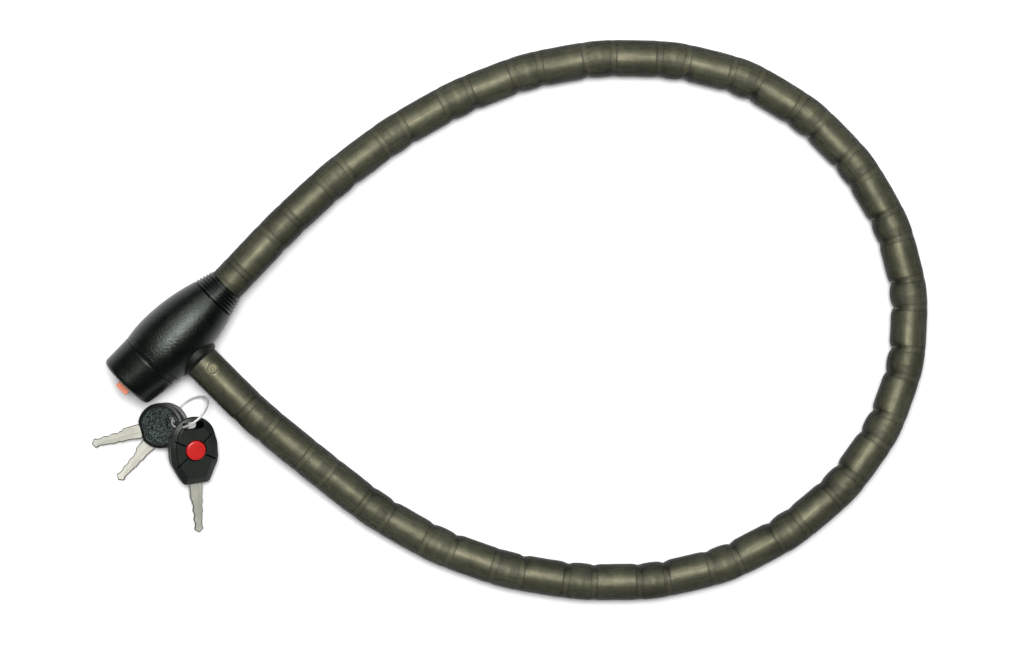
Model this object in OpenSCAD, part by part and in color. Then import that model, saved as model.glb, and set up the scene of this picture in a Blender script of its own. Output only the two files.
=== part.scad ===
// Armoured cable lock with a key cylinder, lying closed in a loop, and its three keys on a split ring.
// Millimetres, +Z up. The origin is on the floor, under the middle of the whole lock.

/* [Cable] */
// Outer diameter of the sheathed cable
cable_d = 20; // [19:0.25:21]
// Sheath wall where it lies on a sleeve
sheath_wall = 0.5; // [0.3:0.05:0.8]
// Length of a steel sleeve
sleeve_len = 21.5; // [18:0.5:23]
// Wall of a steel sleeve
sleeve_wall = 1.6; // [1.2:0.1:2]
// Length of a coupler ring between two sleeves
coupler_len = 12.2; // [9:0.2:13]
// Diameter of the wire rope inside the armour
rope_d = 6; // [5:0.25:6.5]
// Length of the sleeve that grips the locking bolt
end_sleeve_len = 35; // [32:0.5:38]

/* [Lock head] */
// Largest radius of the barrel
barrel_r = 19.1; // [18.8:0.1:21]
// Distance from the key end to the barrel's widest place
barrel_widest = 31; // [29:0.5:33]
// Radius of the barrel's long curve in front of the widest place
front_curve_r = 60; // [55:1:90]
// Radius of the barrel's long curve behind the widest place
rear_curve_r = 115; // [105:1:140]
// Distance from the key end to the seam of the end cap
cap_len = 18.3; // [17.5:0.1:19]
// Radius of the end cap's front face
cap_front_r = 16.4; // [15.5:0.1:17]
// Rounding of the end cap's front edge
cap_edge_r = 2.6; // [1.5:0.1:3]
// Thickness of the end cap's front wall
cap_wall = 2.2; // [1.8:0.1:2.4]
// Distance from the key end to the end of the barrel casing
barrel_len = 66.5; // [65:0.5:68]
// Length of the ribbed neck past the casing
neck_len = 10.5; // [9:0.5:12]
// Number of ribs round the neck
rib_count = 5; // [3:1:6]
// Distance from the key end to the bolt's port
port_at = 37.8; // [35.5:0.1:39]
// Radius of the collar round the port
collar_r = 11.75; // [10:0.25:12.5]
// Distance from the lock's axis to the collar's face
collar_face = 19.6; // [19.2:0.1:20.5]

/* [Cylinder and latch] */
// Radius of the key plug
plug_r = 6; // [5.6:0.1:6.2]
// Radius of the shell that the plug turns in
shell_r = 9.5; // [9:0.1:10]
// Width of the keyway
keyway_w = 2.3; // [2.1:0.1:2.6]
// Height of the keyway
keyway_h = 8.2; // [8:0.1:8.8]
// Number of wafers in the plug
wafer_count = 5; // [3:1:6]
// Radius of the locking bolt
bolt_r = 6; // [5.5:0.1:6.2]
// Radius of the locking bolt in its groove
groove_r = 4; // [3.6:0.1:4.4]
// Thickness of the latch plate
latch_t = 3; // [2.4:0.1:3.4]
// Distance from the plug's axis to the cam pin
cam_throw = 2; // [1.6:0.1:2.2]
// Thickness of the wire of the latch spring
spring_wire = 0.6; // [0.4:0.05:0.7]
// Number of curls of the latch spring
spring_curls = 5; // [3:1:6]

/* [Keyhole cover] */
// Radius of the cover's boss in the end cap
cover_r = 6.2; // [5.8:0.1:6.8]
// Height of the finger tab above the boss
tab_h = 3.6; // [1.5:0.1:4]
// Length of the finger tab
tab_len = 7.4; // [6:0.1:8]

/* [Keys] */
// Diameter of a plain key's bow
bow_d = 25; // [23:0.5:26]
// Thickness of a plain key's bow
bow_t = 3; // [2.8:0.1:3.2]
// Thickness of a key blade
blade_t = 1.8; // [1.6:0.1:2]
// Width of a plain key's blade
blade_w = 7.7; // [7:0.1:8]
// Length of a plain key's blade past its bow
blade_len = 28.6; // [24:0.2:30]
// Width of the lit key's bow
lit_w = 26.7; // [25:0.1:28]
// Length of the lit key's bow
lit_len = 38; // [36:0.5:40]
// Thickness of the lit key's bow
lit_t = 9; // [8.6:0.1:10]
// Wall of the lit key's shells
lit_wall = 1.4; // [1.2:0.1:1.6]
// Diameter of the lit key's button
button_d = 11.5; // [10:0.1:12]
// How far the button travels
button_travel = 0.8; // [0.4:0.1:0.8]
// Length of the lit key's blade past its bow
lit_blade_len = 28.6; // [24:0.5:30]
// Radius of the split ring's middle line
ring_r = 11.7; // [11.5:0.1:12]
// Thickness of the split ring's wire
ring_wire = 0.9; // [0.7:0.05:1]

/* [Hidden] */

// Finish colours
black_plastic = [0.07, 0.08, 0.08];
dark_grey = [0.16, 0.17, 0.17];
orange = [0.92, 0.42, 0.2];
zinc = [0.62, 0.63, 0.64];
brass = [0.72, 0.6, 0.34];
steel = [0.6, 0.6, 0.6];
armour = [0.52, 0.48, 0.38];
sheath_colour = [0.3, 0.29, 0.24];
nickel = [0.76, 0.75, 0.7];
red = [0.78, 0.1, 0.1];
board_green = [0.1, 0.35, 0.2];
clear = [0.85, 0.9, 0.95];

// Gaps between pieces
fit = 0.2;
running_fit = 0.05;
sheath_fit = 0.05;
latch_fit = 0.3;
// Cuts run this far past the faces that they open
past = 1;

// Cable
cable_r = cable_d / 2;
sheath_sides = 12;
rope_sides = 8;
sleeve_r = cable_r * cos(180 / sheath_sides) - sheath_wall - sheath_fit;
sleeve_bore_r = sleeve_r - sleeve_wall;
sheath_bore_r = (sleeve_r + sheath_fit) / cos(180 / sheath_sides);
coupler_top_r = sleeve_r - 0.3;
coupler_end_r = sleeve_r - 1.2;
coupler_crown = coupler_len / 6;
rope_r = rope_d / 2;
coupler_bore_r = rope_r + 1.1;
knee_bore_r = rope_r + 1.9;
first_coupler = 3.6;
end_gap = 3;

// Lock head, along its own axis from the key end: z is the distance, y is up and x is away from the port
head_x = -209.5;
head_y = -35.5;
head_z = barrel_r;
head_angle = 45;
neck_end = barrel_len + neck_len;
seam_gap = 0.3;
line_near = 1.8;
line_far = 4.1;
line_w = 0.35;
line_depth = 0.25;
cap_shift = 1.2;
body_front = cap_wall + 1.2;
body_depth = 3.3;
body_r = barrel_r - body_depth;
body_nose_drop = 2.8;
body_nose_r = body_r - body_nose_drop;
body_tail_drop = 3.8;
body_tail_r = body_r - body_tail_drop;
body_taper_len = 13;
body_end = barrel_len - 8.5;
body_taper_at = body_end - body_taper_len;
boot_spigot_r = 10.6;
boot_spigot_start = body_end + 2;
sheath_start = barrel_len + 3.2;
neck_drop = 5.6;
rib_top_r = barrel_r - neck_drop;
rib_end_r = 11;
rib_depth = 0.45;
rib_share = 0.68;

// Keyhole cover
cover_flange = 1.6;
cover_flange_t = 0.8;
cover_front = -0.5;
tab_w = 3;
tab_shift = 0.1;
tab_lift = 0.4;

// Cylinder
shell_end = 24.2;
plug_end = 23.6;
tail_r = 3;
tail_flat = 2;
clip_t = 0.6;
clip_r = 7;
clip_room = 0.5;
clip_at = shell_end + 0.3;
cam_t = 1.4;
cam_r = 6;
cam_start = clip_at + clip_t + 0.1;
cam_end = cam_start + cam_t;
cam_pin_r = 1.5;
cam_pin_len = 2.4;
cam_web = 0.5;
cam_rest = -45;
wafer_t = 1.2;
wafer_w = 7;
wafer_first = body_front + 2.6;
wafer_pitch = 2.8;
channel_r = plug_r + 1.4;
cross_pin_r = 1.5;
cylinder_pin_at = 14;
cylinder_pin_tip = 8;

// Latch: the cam pin lifts it by the throw's chord while the plug makes a quarter turn
latch_travel = 2 * cam_throw * sin(-cam_rest);
latch_front = cam_end + 0.4;
latch_back = port_at + 10;
latch_h = 8.8;
yoke_t = 2.2;
yoke_wall = 1.6;
pin_rest_x = cam_throw * cos(cam_rest);
pin_rest_y = cam_throw * sin(cam_rest);
slot_x0 = pin_rest_x - cam_pin_r - 0.25;
slot_x1 = cam_throw + cam_pin_r + 0.25;
slot_h = cam_pin_r + 0.15;
spring_r = 1.7;
spring_at = port_at + 5;
spring_cover = 0.9;
spring_floor = body_r - spring_cover;
bolt_bore_r = bolt_r + fit;
bolt_tip = 9;
bolt_nose = 4;
bolt_nose_w = 2.6;
groove_half = latch_t / 2 + latch_fit;

// Bolt in its sleeve
sleeve_face = collar_face + 0.5;
bolt_root_r = sleeve_bore_r - fit;
bolt_root_len = 24;
rope_socket = 10;
rivet_at = collar_face + 7.7;
rivet_tilt = -15;
rivet_r = 2;
rivet_head_r = 3;
rivet_head_t = 0.8;

// Rope anchor
anchor_r = 5;
anchor_start = port_at + 11.4;
anchor_end = body_end + 1.6;
anchor_socket = (anchor_start + anchor_end) / 2;
anchor_pin_at = anchor_start + 2.8;
anchor_pin_sink = 1.28;

// The route of the cable, by hand: x, y and the share of the rise from the floor to the lock's axis
route_a = [[-133.4, 42.4, 0.85], [-97.8, 76.8, 0.35]];
knee_start = [-64.7, 102.2];
route_b = [[-30, 122, 0], [20, 140, 0], [72, 145, 0], [124, 136, 0]];
route_c = [[193, 83, 0], [214, 43, 0], [221, 0, 0], [215.6, -35.2, 0], [196.4, -75.3, 0]];
route_d = [
    [130, -130, 0], [79, -144, 0], [26, -143, 0], [-25.2, -130.6, 0.02], [-71.6, -106.5, 0.15],
    [-113, -73.8, 0.6]
];
// The three knees stand on an isosceles triangle whose base is parallel to the bolt,
// so that the bolt leaves its port straight while they turn by 1, -2 and 1
knee_base = 309;
knee_height = 169.5;
knee_turn = 6.5;
// Pairs of sleeve and coupler in each of the cable's four stretches
pairs = [3, 6, 7, 8];
route_steps = 10;

// Keys: a key's own frame has its ring slot at the origin, +X to the tip and +Z out of its face
bow_at = 5;
bow_slot = [5.2, 6];
bow_slot_at = -1.4;
slot_corner_r = 1.5;
tang_len = 8;
tang_w = 6;
key_fit = 0.05;
blade_cuts = [0, 0.5, 1.1, 0.6, 1.3, 0.8, 1.5, 1.0, 1.4];
tip_len = 1.2;
groove_depth = 0.4;
groove_w = 1.2;
groove_start = 0.5;
groove_stop = 6;
lit_rim = 4.5;
lit_slot = [4.2, 12.6];
lit_lug_t = 2.8;
lit_lug_len = 6.5;
lit_half_w = lit_w / 2;
lit_panel_inset = 3.2;
lit_panel_rise = 1.6;
lit_button_at = 14.8;
lit_blade_w = 7;
board_t = 0.8;
board_size = [11, 15];
dome_r = 4;
dome_h = 0.6;
cell_d = 9.5;
cell_t = 2.4;
lamp_d = 3;
screw_at = 26.5;
screw_r = 1.05;
screw_head_r = 1.9;
screw_head_t = 0.75;
screw_len = 1.8;
screw_seat = -3.5;
// Slot centre, heading, pitch and roll of each key as it lies on the heap
key_1_pose = [[-187.7, -56.9, 9.95], 195, 9.8, -0.4];
key_2_pose = [[-186.7, -54.3, 5.9], 228.5, 6.1, 2.4];
lit_pose = [[-174.7, -57, 16.35], 272.4, 14.2, -21.2];
ring_at = [-176, -50.7, 11.4];
ring_heading = 35.2;
ring_tilt = -57.3;

// ---------------------------------------------------------------- frames

// A point of the head's own frame in the world
function head_point(x, y, z) = [
    head_x + z * cos(head_angle) - x * sin(head_angle),
    head_y + z * sin(head_angle) + x * cos(head_angle),
    head_z + y
];

module in_head() {
    translate([head_x, head_y, head_z]) rotate([0, 0, head_angle]) rotate([90, 0, 90]) children();
}

// A frame whose z runs from the lock's axis out through the port
module in_port() {
    in_head() translate([0, 0, port_at]) rotate([0, -90, 0]) children();
}

module at_key(pose) {
    translate(pose[0]) rotate([0, 0, pose[1]]) rotate([0, pose[2], 0]) rotate([pose[3], 0, 0]) children();
}

// ---------------------------------------------------------------- the cable's route

function unit(v) = v / norm(v);
function floor_point(p) = [p[0], p[1], cable_r + p[2] * (head_z - cable_r)];

axis_dir = [cos(head_angle), sin(head_angle), 0];
bolt_dir = [sin(head_angle), -cos(head_angle), 0];
knee_1 = floor_point([knee_start[0], knee_start[1], 0]);
knee_3 = knee_1 + knee_base * bolt_dir;
knee_2 = (knee_1 + knee_3) / 2 + knee_height * axis_dir;
neck_point = head_point(0, 0, neck_end);
tail_point = head_point(-sleeve_face - end_sleeve_len, 0, port_at);
route = concat(
    [neck_point], [for (p = route_a) floor_point(p)],
    [knee_1], [for (p = route_b) floor_point(p)],
    [knee_2], [for (p = route_c) floor_point(p)],
    [knee_3], [for (p = route_d) floor_point(p)],
    [tail_point]
);
route_last = len(route) - 1;
knee_index = [
    len(route_a) + 1,
    len(route_a) + len(route_b) + 2,
    len(route_a) + len(route_b) + len(route_c) + 3
];

function chord(i) = norm(route[i + 1] - route[i]);
// The curve's direction at a point of the route
function heading(i) =
    i == 0 ? axis_dir
    : i == route_last ? -bolt_dir
    : unit(
        (route[i] - route[i - 1]) / chord(i - 1) * chord(i)
        + (route[i + 1] - route[i]) / chord(i) * chord(i - 1)
    );
function hermite(a, da, b, db, t) =
    (2 * t ^ 3 - 3 * t ^ 2 + 1) * a + (t ^ 3 - 2 * t ^ 2 + t) * da
    + (3 * t ^ 2 - 2 * t ^ 3) * b + (t ^ 3 - t ^ 2) * db;
curve = concat(
    [for (i = [0:route_last - 1], k = [0:route_steps - 1])
        hermite(route[i], heading(i) * chord(i), route[i + 1], heading(i + 1) * chord(i), k / route_steps)],
    [route[route_last]]
);
function step_len(i) = i + 1 < len(curve) ? norm(curve[i + 1] - curve[i]) : 0;
curve_run = [for (i = 0, total = 0; i < len(curve); total = total + step_len(i), i = i + 1) total];
function axis_table(k) = [for (i = [0:len(curve) - 1]) [curve_run[i], curve[i][k]]];
curve_tables = [axis_table(0), axis_table(1), axis_table(2)];
function along(s) = [for (table = curve_tables) lookup(s, table)];

// Distances of the couplers' centres along the curve, evenly spaced in each stretch
last_coupler = curve_run[len(curve) - 1] - end_gap - coupler_len / 2;
stretch_ends = concat([first_coupler], [for (i = knee_index) curve_run[i * route_steps]], [last_coupler]);
coupler_runs = concat(
    [for (s = [0:3], k = [0:pairs[s] - 1])
        stretch_ends[s] + k * (stretch_ends[s + 1] - stretch_ends[s]) / pairs[s]],
    [last_coupler]
);
coupler_points = [for (s = coupler_runs) along(s)];
coupler_last = len(coupler_points) - 1;
// The coupler at each knee, and the first and last coupler of each stretch
knees = [pairs[0], pairs[0] + pairs[1], pairs[0] + pairs[1] + pairs[2]];
stretch_first = concat([0], knees);
stretch_last = concat(knees, [coupler_last]);

function sleeve_dir(k) = unit(coupler_points[k + 1] - coupler_points[k]);
function sleeve_mid(k) = (coupler_points[k + 1] + coupler_points[k]) / 2;
function coupler_dir(k) =
    k == 0 ? unit(axis_dir + sleeve_dir(0))
    : k == coupler_last ? unit(sleeve_dir(k - 1) - bolt_dir)
    : unit(sleeve_dir(k - 1) + sleeve_dir(k));

// Half the opening of the sheath at a knee: it closes there by the knee's turn and keeps a gap
function knee_opening(s) = (cable_r * tan(knee_turn * (s == 1 ? 2 : 1)) + latch_fit) / 2;

// Turns +Z to a direction
module along_dir(d) {
    rotate([0, acos(d[2] / norm(d)), atan2(d[1], d[0])]) children();
}

// ---------------------------------------------------------------- swept tubes

// Points of a ring of a tube round centre c, square to direction t
function ring_points(c, t, r, sides, up) =
    let (side = unit(cross(up, t)), over = cross(t, side))
    [for (k = [0:sides - 1]) c + r * (cos(360 * k / sides) * side + sin(360 * k / sides) * over)];

// A solid tube along rings of [centre, direction]
module solid_tube(rings, r, sides, up = [0, 0, 1]) {
    n = len(rings);
    function at(i, k) = i * sides + k % sides;
    polyhedron(
        points = [for (g = rings) each ring_points(g[0], unit(g[1]), r, sides, up)],
        faces = concat(
            [for (i = [0:n - 2], k = [0:sides - 1]) each [
                [at(i, k), at(i + 1, k + 1), at(i, k + 1)],
                [at(i, k), at(i + 1, k), at(i + 1, k + 1)]
            ]],
            [for (k = [1:sides - 2]) [at(0, 0), at(0, k), at(0, k + 1)]],
            [for (k = [1:sides - 2]) [at(n - 1, 0), at(n - 1, k + 1), at(n - 1, k)]]
        ),
        convexity = 8
    );
}

// A hollow tube along rings of [centre, direction]
module hollow_tube(rings, r_out, r_in, sides, up = [0, 0, 1]) {
    n = len(rings);
    function at(skin, i, k) = (skin * n + i) * sides + k % sides;
    polyhedron(
        points = [for (r = [r_out, r_in], g = rings) each ring_points(g[0], unit(g[1]), r, sides, up)],
        faces = concat(
            [for (i = [0:n - 2], k = [0:sides - 1]) each [
                [at(0, i, k), at(0, i + 1, k + 1), at(0, i, k + 1)],
                [at(0, i, k), at(0, i + 1, k), at(0, i + 1, k + 1)],
                [at(1, i, k), at(1, i, k + 1), at(1, i + 1, k + 1)],
                [at(1, i, k), at(1, i + 1, k + 1), at(1, i + 1, k)]
            ]],
            [for (k = [0:sides - 1]) each [
                [at(0, 0, k), at(0, 0, k + 1), at(1, 0, k + 1)],
                [at(0, 0, k), at(1, 0, k + 1), at(1, 0, k)],
                [at(0, n - 1, k), at(1, n - 1, k + 1), at(0, n - 1, k + 1)],
                [at(0, n - 1, k), at(1, n - 1, k), at(1, n - 1, k + 1)]
            ]]
        ),
        convexity = 10
    );
}

// ---------------------------------------------------------------- cable pieces

module sleeve() {
    difference() {
        cylinder(r = sleeve_r, h = sleeve_len, center = true, $fn = 64);
        cylinder(r = sleeve_bore_r, h = sleeve_len + 2 * past, center = true, $fn = 64);
    }
}

module coupler(bore_r) {
    rotate_extrude($fn = 64) polygon([
        [bore_r, -coupler_len / 2], [coupler_end_r, -coupler_len / 2],
        [coupler_top_r, -coupler_crown / 2], [coupler_top_r, coupler_crown / 2],
        [coupler_end_r, coupler_len / 2], [bore_r, coupler_len / 2]
    ]);
}

module sleeves(s) {
    color(armour)
        for (k = [stretch_first[s]:stretch_last[s] - 1])
            translate(sleeve_mid(k)) along_dir(sleeve_dir(k)) sleeve();
}

// The coupler at a knee belongs to the stretch before it
module couplers(s) {
    color(armour)
        for (k = [stretch_first[s] + (s == 0 ? 0 : 1):stretch_last[s]])
            translate(coupler_points[k]) along_dir(coupler_dir(k))
                coupler(len([for (j = knees) if (j == k) 1]) > 0 ? knee_bore_r : coupler_bore_r);
}

module sleeves_a() { sleeves(0); }
module sleeves_b() { sleeves(1); }
module sleeves_c() { sleeves(2); }
module sleeves_d() { sleeves(3); }
module couplers_a() { couplers(0); }
module couplers_b() { couplers(1); }
module couplers_c() { couplers(2); }
module couplers_d() { couplers(3); }

// The rope's rings inside a stretch, one at each coupler
rope_knee_gap = 0.6;
function rope_rings(s) = concat(
    s == 0 ? [[head_point(0, 0, anchor_socket + fit), axis_dir], [coupler_points[0], coupler_dir(0)]]
        : [[coupler_points[knees[s - 1]] + rope_knee_gap * sleeve_dir(knees[s - 1]), sleeve_dir(knees[s - 1])]],
    [for (k = [stretch_first[s] + 1:1:stretch_last[s] - (s == 3 ? 0 : 1)]) [coupler_points[k], coupler_dir(k)]],
    s == 3 ? [[tail_point, -bolt_dir],
            [head_point(-sleeve_face - bolt_root_len + rope_socket - fit, 0, port_at), -bolt_dir]]
        : [[coupler_points[knees[s]] - rope_knee_gap * sleeve_dir(knees[s] - 1), sleeve_dir(knees[s] - 1)]]
);

module wire_rope(s) {
    color(steel) solid_tube(rope_rings(s), rope_r, rope_sides);
}
module wire_rope_a() { wire_rope(0); }
module wire_rope_b() { wire_rope(1); }
module wire_rope_c() { wire_rope(2); }
module wire_rope_d() { wire_rope(3); }

// The sheath's rings inside a stretch: at both ends of each sleeve and at each coupler between
function sleeve_rings(k) = [
    for (side = [-1, 1]) [sleeve_mid(k) + side * sleeve_len / 2 * sleeve_dir(k), sleeve_dir(k)]
];
function sheath_rings(s) = concat(
    s == 0 ? [[head_point(0, 0, sheath_start), axis_dir], [coupler_points[0], coupler_dir(0)]]
        : [[coupler_points[knees[s - 1]] + knee_opening(s - 1) * sleeve_dir(knees[s - 1]),
            coupler_dir(knees[s - 1])]],
    [for (k = [stretch_first[s]:stretch_last[s] - 1]) each concat(
        sleeve_rings(k),
        k < stretch_last[s] - 1 ? [[coupler_points[k + 1], coupler_dir(k + 1)]] : []
    )],
    s == 3 ? [[coupler_points[coupler_last], coupler_dir(coupler_last)], [tail_point, -bolt_dir],
            [head_point(-sleeve_face, 0, port_at), -bolt_dir]]
        : [[coupler_points[knees[s]] - knee_opening(s) * sleeve_dir(knees[s] - 1), coupler_dir(knees[s])]]
);

module sheath(s) {
    color(sheath_colour) hollow_tube(sheath_rings(s), cable_r, sheath_bore_r, sheath_sides);
}
module sheath_a() { sheath(0); }
module sheath_b() { sheath(1); }
module sheath_c() { sheath(2); }
module sheath_d() { sheath(3); }

// ---------------------------------------------------------------- bolt and its sleeve

// Turned about the bolt from the upright, to the rivet's own axis
module in_rivet() {
    translate([0, 0, rivet_at]) rotate([0, 0, rivet_tilt]) rotate([90, 0, 0]) children();
}

module locking_bolt() {
    root = sleeve_face + 0.5;
    root_end = sleeve_face + bolt_root_len;
    color(steel) in_port() difference() {
        rotate_extrude($fn = 72) polygon([
            [0, -bolt_tip], [bolt_r - bolt_nose_w, -bolt_tip], [bolt_r, bolt_nose - bolt_tip],
            [bolt_r, -groove_half], [groove_r, -groove_half], [groove_r, groove_half],
            [bolt_r, groove_half], [bolt_r, root], [bolt_root_r, root],
            [bolt_root_r, root_end], [0, root_end]
        ]);
        translate([0, 0, root_end - rope_socket])
            cylinder(r = rope_r + running_fit, h = rope_socket + past, $fn = 48);
        in_rivet() cylinder(r = rivet_r + running_fit, h = 4 * bolt_r, center = true, $fn = 32);
    }
}

module end_sleeve() {
    color(armour) in_port() difference() {
        translate([0, 0, sleeve_face]) cylinder(r = sleeve_r, h = end_sleeve_len, $fn = 64);
        translate([0, 0, sleeve_face - past])
            cylinder(r = sleeve_bore_r, h = end_sleeve_len + 2 * past, $fn = 64);
        in_rivet() {
            cylinder(r = rivet_r + running_fit, h = 3 * sleeve_r, center = true, $fn = 32);
            for (side = [0, 180]) rotate([side, 0, 0])
                translate([0, 0, sleeve_r - rivet_head_t - running_fit])
                    cylinder(r = rivet_head_r + running_fit, h = 2 * past, $fn = 48);
        }
    }
}

module bolt_rivet() {
    color(steel) in_port() intersection() {
        in_rivet() {
            cylinder(r = rivet_r, h = 2 * (sleeve_r - rivet_head_t / 2), center = true, $fn = 32);
            for (side = [0, 180]) rotate([side, 0, 0])
                translate([0, 0, sleeve_r - rivet_head_t]) cylinder(r = rivet_head_r, h = past, $fn = 48);
        }
        translate([0, 0, rivet_at]) cylinder(r = sleeve_r, h = 4 * rivet_head_r, center = true, $fn = 64);
    }
}

// ---------------------------------------------------------------- lock head

// Radius of the barrel at a distance from the key end
function curve_drop(d, r) = r - sqrt(r * r - d * d);
function barrel_radius(z) =
    barrel_r - curve_drop(z - barrel_widest, z < barrel_widest ? front_curve_r : rear_curve_r);
barrel_steps = 24;
barrel_profile = [
    for (i = [0:barrel_steps])
        let (z = cap_len + i * (barrel_len - cap_len) / barrel_steps) [barrel_radius(z), z]
];

// Shallow parting line round the casing, further from the seam on the port's side
module parting_line() {
    difference() {
        translate([0, 0, cap_len + (line_near + line_far) / 2])
            rotate([0, asin((line_far - line_near) / 2 / barrel_r), 0])
            cylinder(r = barrel_r + 1, h = line_w, center = true, $fn = 96);
        rotate_extrude($fn = 96) polygon(concat(
            [[0, cap_len]], [for (p = barrel_profile) [p[0] - line_depth, p[1]]], [[0, barrel_len]]
        ));
    }
}

module barrel_casing() {
    color(black_plastic) in_head() difference() {
        rotate_extrude($fn = 96) polygon(concat([[0, cap_len]], barrel_profile, [[0, barrel_len]]));
        parting_line();
        rotate_extrude($fn = 96) polygon([
            [0, cap_len - past], [body_r + fit, cap_len - past], [body_r + fit, body_taper_at],
            [body_tail_r + fit, body_end + fit], [boot_spigot_r + fit, body_end + fit],
            [boot_spigot_r + fit, barrel_len + past], [0, barrel_len + past]
        ]);
        translate([0, 0, port_at]) rotate([0, -90, 0])
            cylinder(r = collar_r + fit, h = 2 * barrel_r, $fn = 72);
    }
}

module end_cap() {
    color(black_plastic) in_head() difference() {
        hull() {
            translate([0, 0, cap_len - seam_gap - 1]) cylinder(r = barrel_radius(cap_len), h = 1, $fn = 96);
            translate([cap_shift, 0, cap_edge_r]) rotate_extrude($fn = 96)
                translate([cap_front_r - cap_edge_r, 0]) circle(r = cap_edge_r, $fn = 32);
        }
        translate([0, 0, cap_wall]) cylinder(r = body_nose_r + fit, h = cap_len, $fn = 72);
        translate([0, 0, -past]) cylinder(r = cover_r + running_fit, h = cap_wall + 2 * past, $fn = 72);
    }
}

// The ribs step down along the neck
function rib_r(i) = rib_top_r + (rib_end_r - rib_top_r) * i / (rib_count - 1);
rib_pitch = neck_len / rib_count;
rib_profile = [
    for (i = [0:rib_count - 1]) each let (z = barrel_len + seam_gap + i * (neck_len - seam_gap) / rib_count) [
        [rib_r(i), z], [rib_r(i), z + rib_pitch * rib_share],
        [rib_r(min(i + 1, rib_count - 1)) - rib_depth, z + rib_pitch * rib_share],
        [rib_r(min(i + 1, rib_count - 1)) - rib_depth, z + rib_pitch - seam_gap / rib_count]
    ]
];

module neck_boot() {
    color(black_plastic) in_head() difference() {
        rotate_extrude($fn = 96) polygon(concat(
            [[0, boot_spigot_start], [boot_spigot_r, boot_spigot_start]],
            [[boot_spigot_r, barrel_len + seam_gap]],
            rib_profile,
            [[0, neck_end]]
        ));
        translate([0, 0, sheath_start - fit]) cylinder(r = cable_r + fit, h = neck_len + past, $fn = 72);
        translate([0, 0, boot_spigot_start - past])
            cylinder(r = rope_r + fit, h = sheath_start - boot_spigot_start + 2 * past, $fn = 48);
    }
}

module port_collar() {
    color(dark_grey) in_head() difference() {
        translate([0, 0, port_at]) rotate([0, -90, 0]) difference() {
            cylinder(r = collar_r, h = collar_face, $fn = 72);
            cylinder(r = bolt_bore_r, h = 2 * collar_face, $fn = 72);
        }
        cylinder(r = body_r + fit, h = barrel_len, $fn = 96);
    }
}

module keyhole_cover() {
    flange_r = cover_r + cover_flange;
    slot = [keyway_h + 0.4, keyway_w + 0.3];
    color(orange) in_head() difference() {
        union() {
            translate([0, 0, cap_wall + running_fit]) cylinder(r = flange_r, h = cover_flange_t, $fn = 72);
            translate([0, 0, cover_front])
                cylinder(r = cover_r, h = cap_wall + running_fit - cover_front, $fn = 72);
            intersection() {
                translate([0, 0, cover_front - tab_h]) cylinder(r = cover_r, h = tab_h, $fn = 72);
                translate([tab_shift - tab_len / 2, slot[1] / 2 + tab_lift, cover_front - tab_h])
                    cube([tab_len, tab_w, tab_h]);
            }
        }
        translate([-slot[0] / 2, -slot[1] / 2, cover_front - past]) cube([slot[0], slot[1], 3 * cap_wall]);
    }
}

module lock_body() {
    color(zinc) in_head() difference() {
        rotate_extrude($fn = 96) polygon([
            [0, body_front], [body_nose_r, body_front], [body_nose_r, cap_len],
            [body_r, cap_len], [body_r, body_taper_at], [body_tail_r, body_end], [0, body_end]
        ]);
        // Bore of the cylinder shell, and the room for the cam behind it
        translate([0, 0, body_front - past])
            cylinder(r = shell_r + running_fit, h = shell_end + fit - body_front + past, $fn = 72);
        cylinder(r = clip_r + clip_room, h = latch_front - fit, $fn = 72);
        // Channel of the latch plate and its yoke
        translate([-latch_t / 2 - latch_fit, -latch_h - latch_fit, latch_front - latch_fit])
            cube([
                latch_t + 2 * latch_fit, 2 * latch_h + latch_travel + 2 * latch_fit,
                latch_back - latch_front + 2 * latch_fit
            ]);
        translate([
            slot_x0 - yoke_wall - latch_fit, pin_rest_y - slot_h - yoke_wall - latch_fit,
            latch_front - latch_fit
        ]) cube([
            slot_x1 - slot_x0 + 2 * (yoke_wall + latch_fit),
            2 * (slot_h + yoke_wall + latch_fit) + latch_travel, yoke_t + 2 * latch_fit
        ]);
        // Pocket of the latch spring
        translate([0, -latch_h, spring_at]) rotate([90, 0, 0])
            cylinder(r = spring_r + fit, h = spring_floor - latch_h, $fn = 32);
        // Bore of the bolt, from the port
        translate([bolt_tip + 2 * latch_fit, 0, port_at]) rotate([0, -90, 0])
            cylinder(r = bolt_bore_r, h = 2 * body_r, $fn = 72);
        // Bore of the rope anchor, and the cross pins
        translate([0, 0, anchor_start - fit]) cylinder(r = anchor_r + running_fit, h = body_end, $fn = 48);
        translate([0, 0, anchor_pin_at]) rotate([90, 0, 0])
            cylinder(r = cross_pin_r + running_fit, h = 3 * body_r, center = true, $fn = 32);
        translate([0, cylinder_pin_tip, cylinder_pin_at]) rotate([-90, 0, 0])
            cylinder(r = cross_pin_r + running_fit, h = body_r, $fn = 32);
    }
}

module cylinder_shell() {
    color(brass) in_head() difference() {
        translate([0, 0, body_front]) cylinder(r = shell_r, h = shell_end - body_front, $fn = 72);
        translate([0, 0, body_front - past]) cylinder(r = plug_r + running_fit, h = shell_end, $fn = 72);
        translate([-wafer_w / 2 - fit, -channel_r, wafer_first - wafer_t])
            cube([wafer_w + 2 * fit, 2 * channel_r, wafer_count * wafer_pitch + wafer_t / 2]);
        translate([0, cylinder_pin_tip, cylinder_pin_at]) rotate([-90, 0, 0])
            cylinder(r = cross_pin_r + running_fit, h = body_r, $fn = 32);
    }
}

module tail_section(r, flat) {
    intersection() {
        circle(r = r, $fn = 48);
        square([2 * r, 2 * flat], center = true);
    }
}

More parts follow.
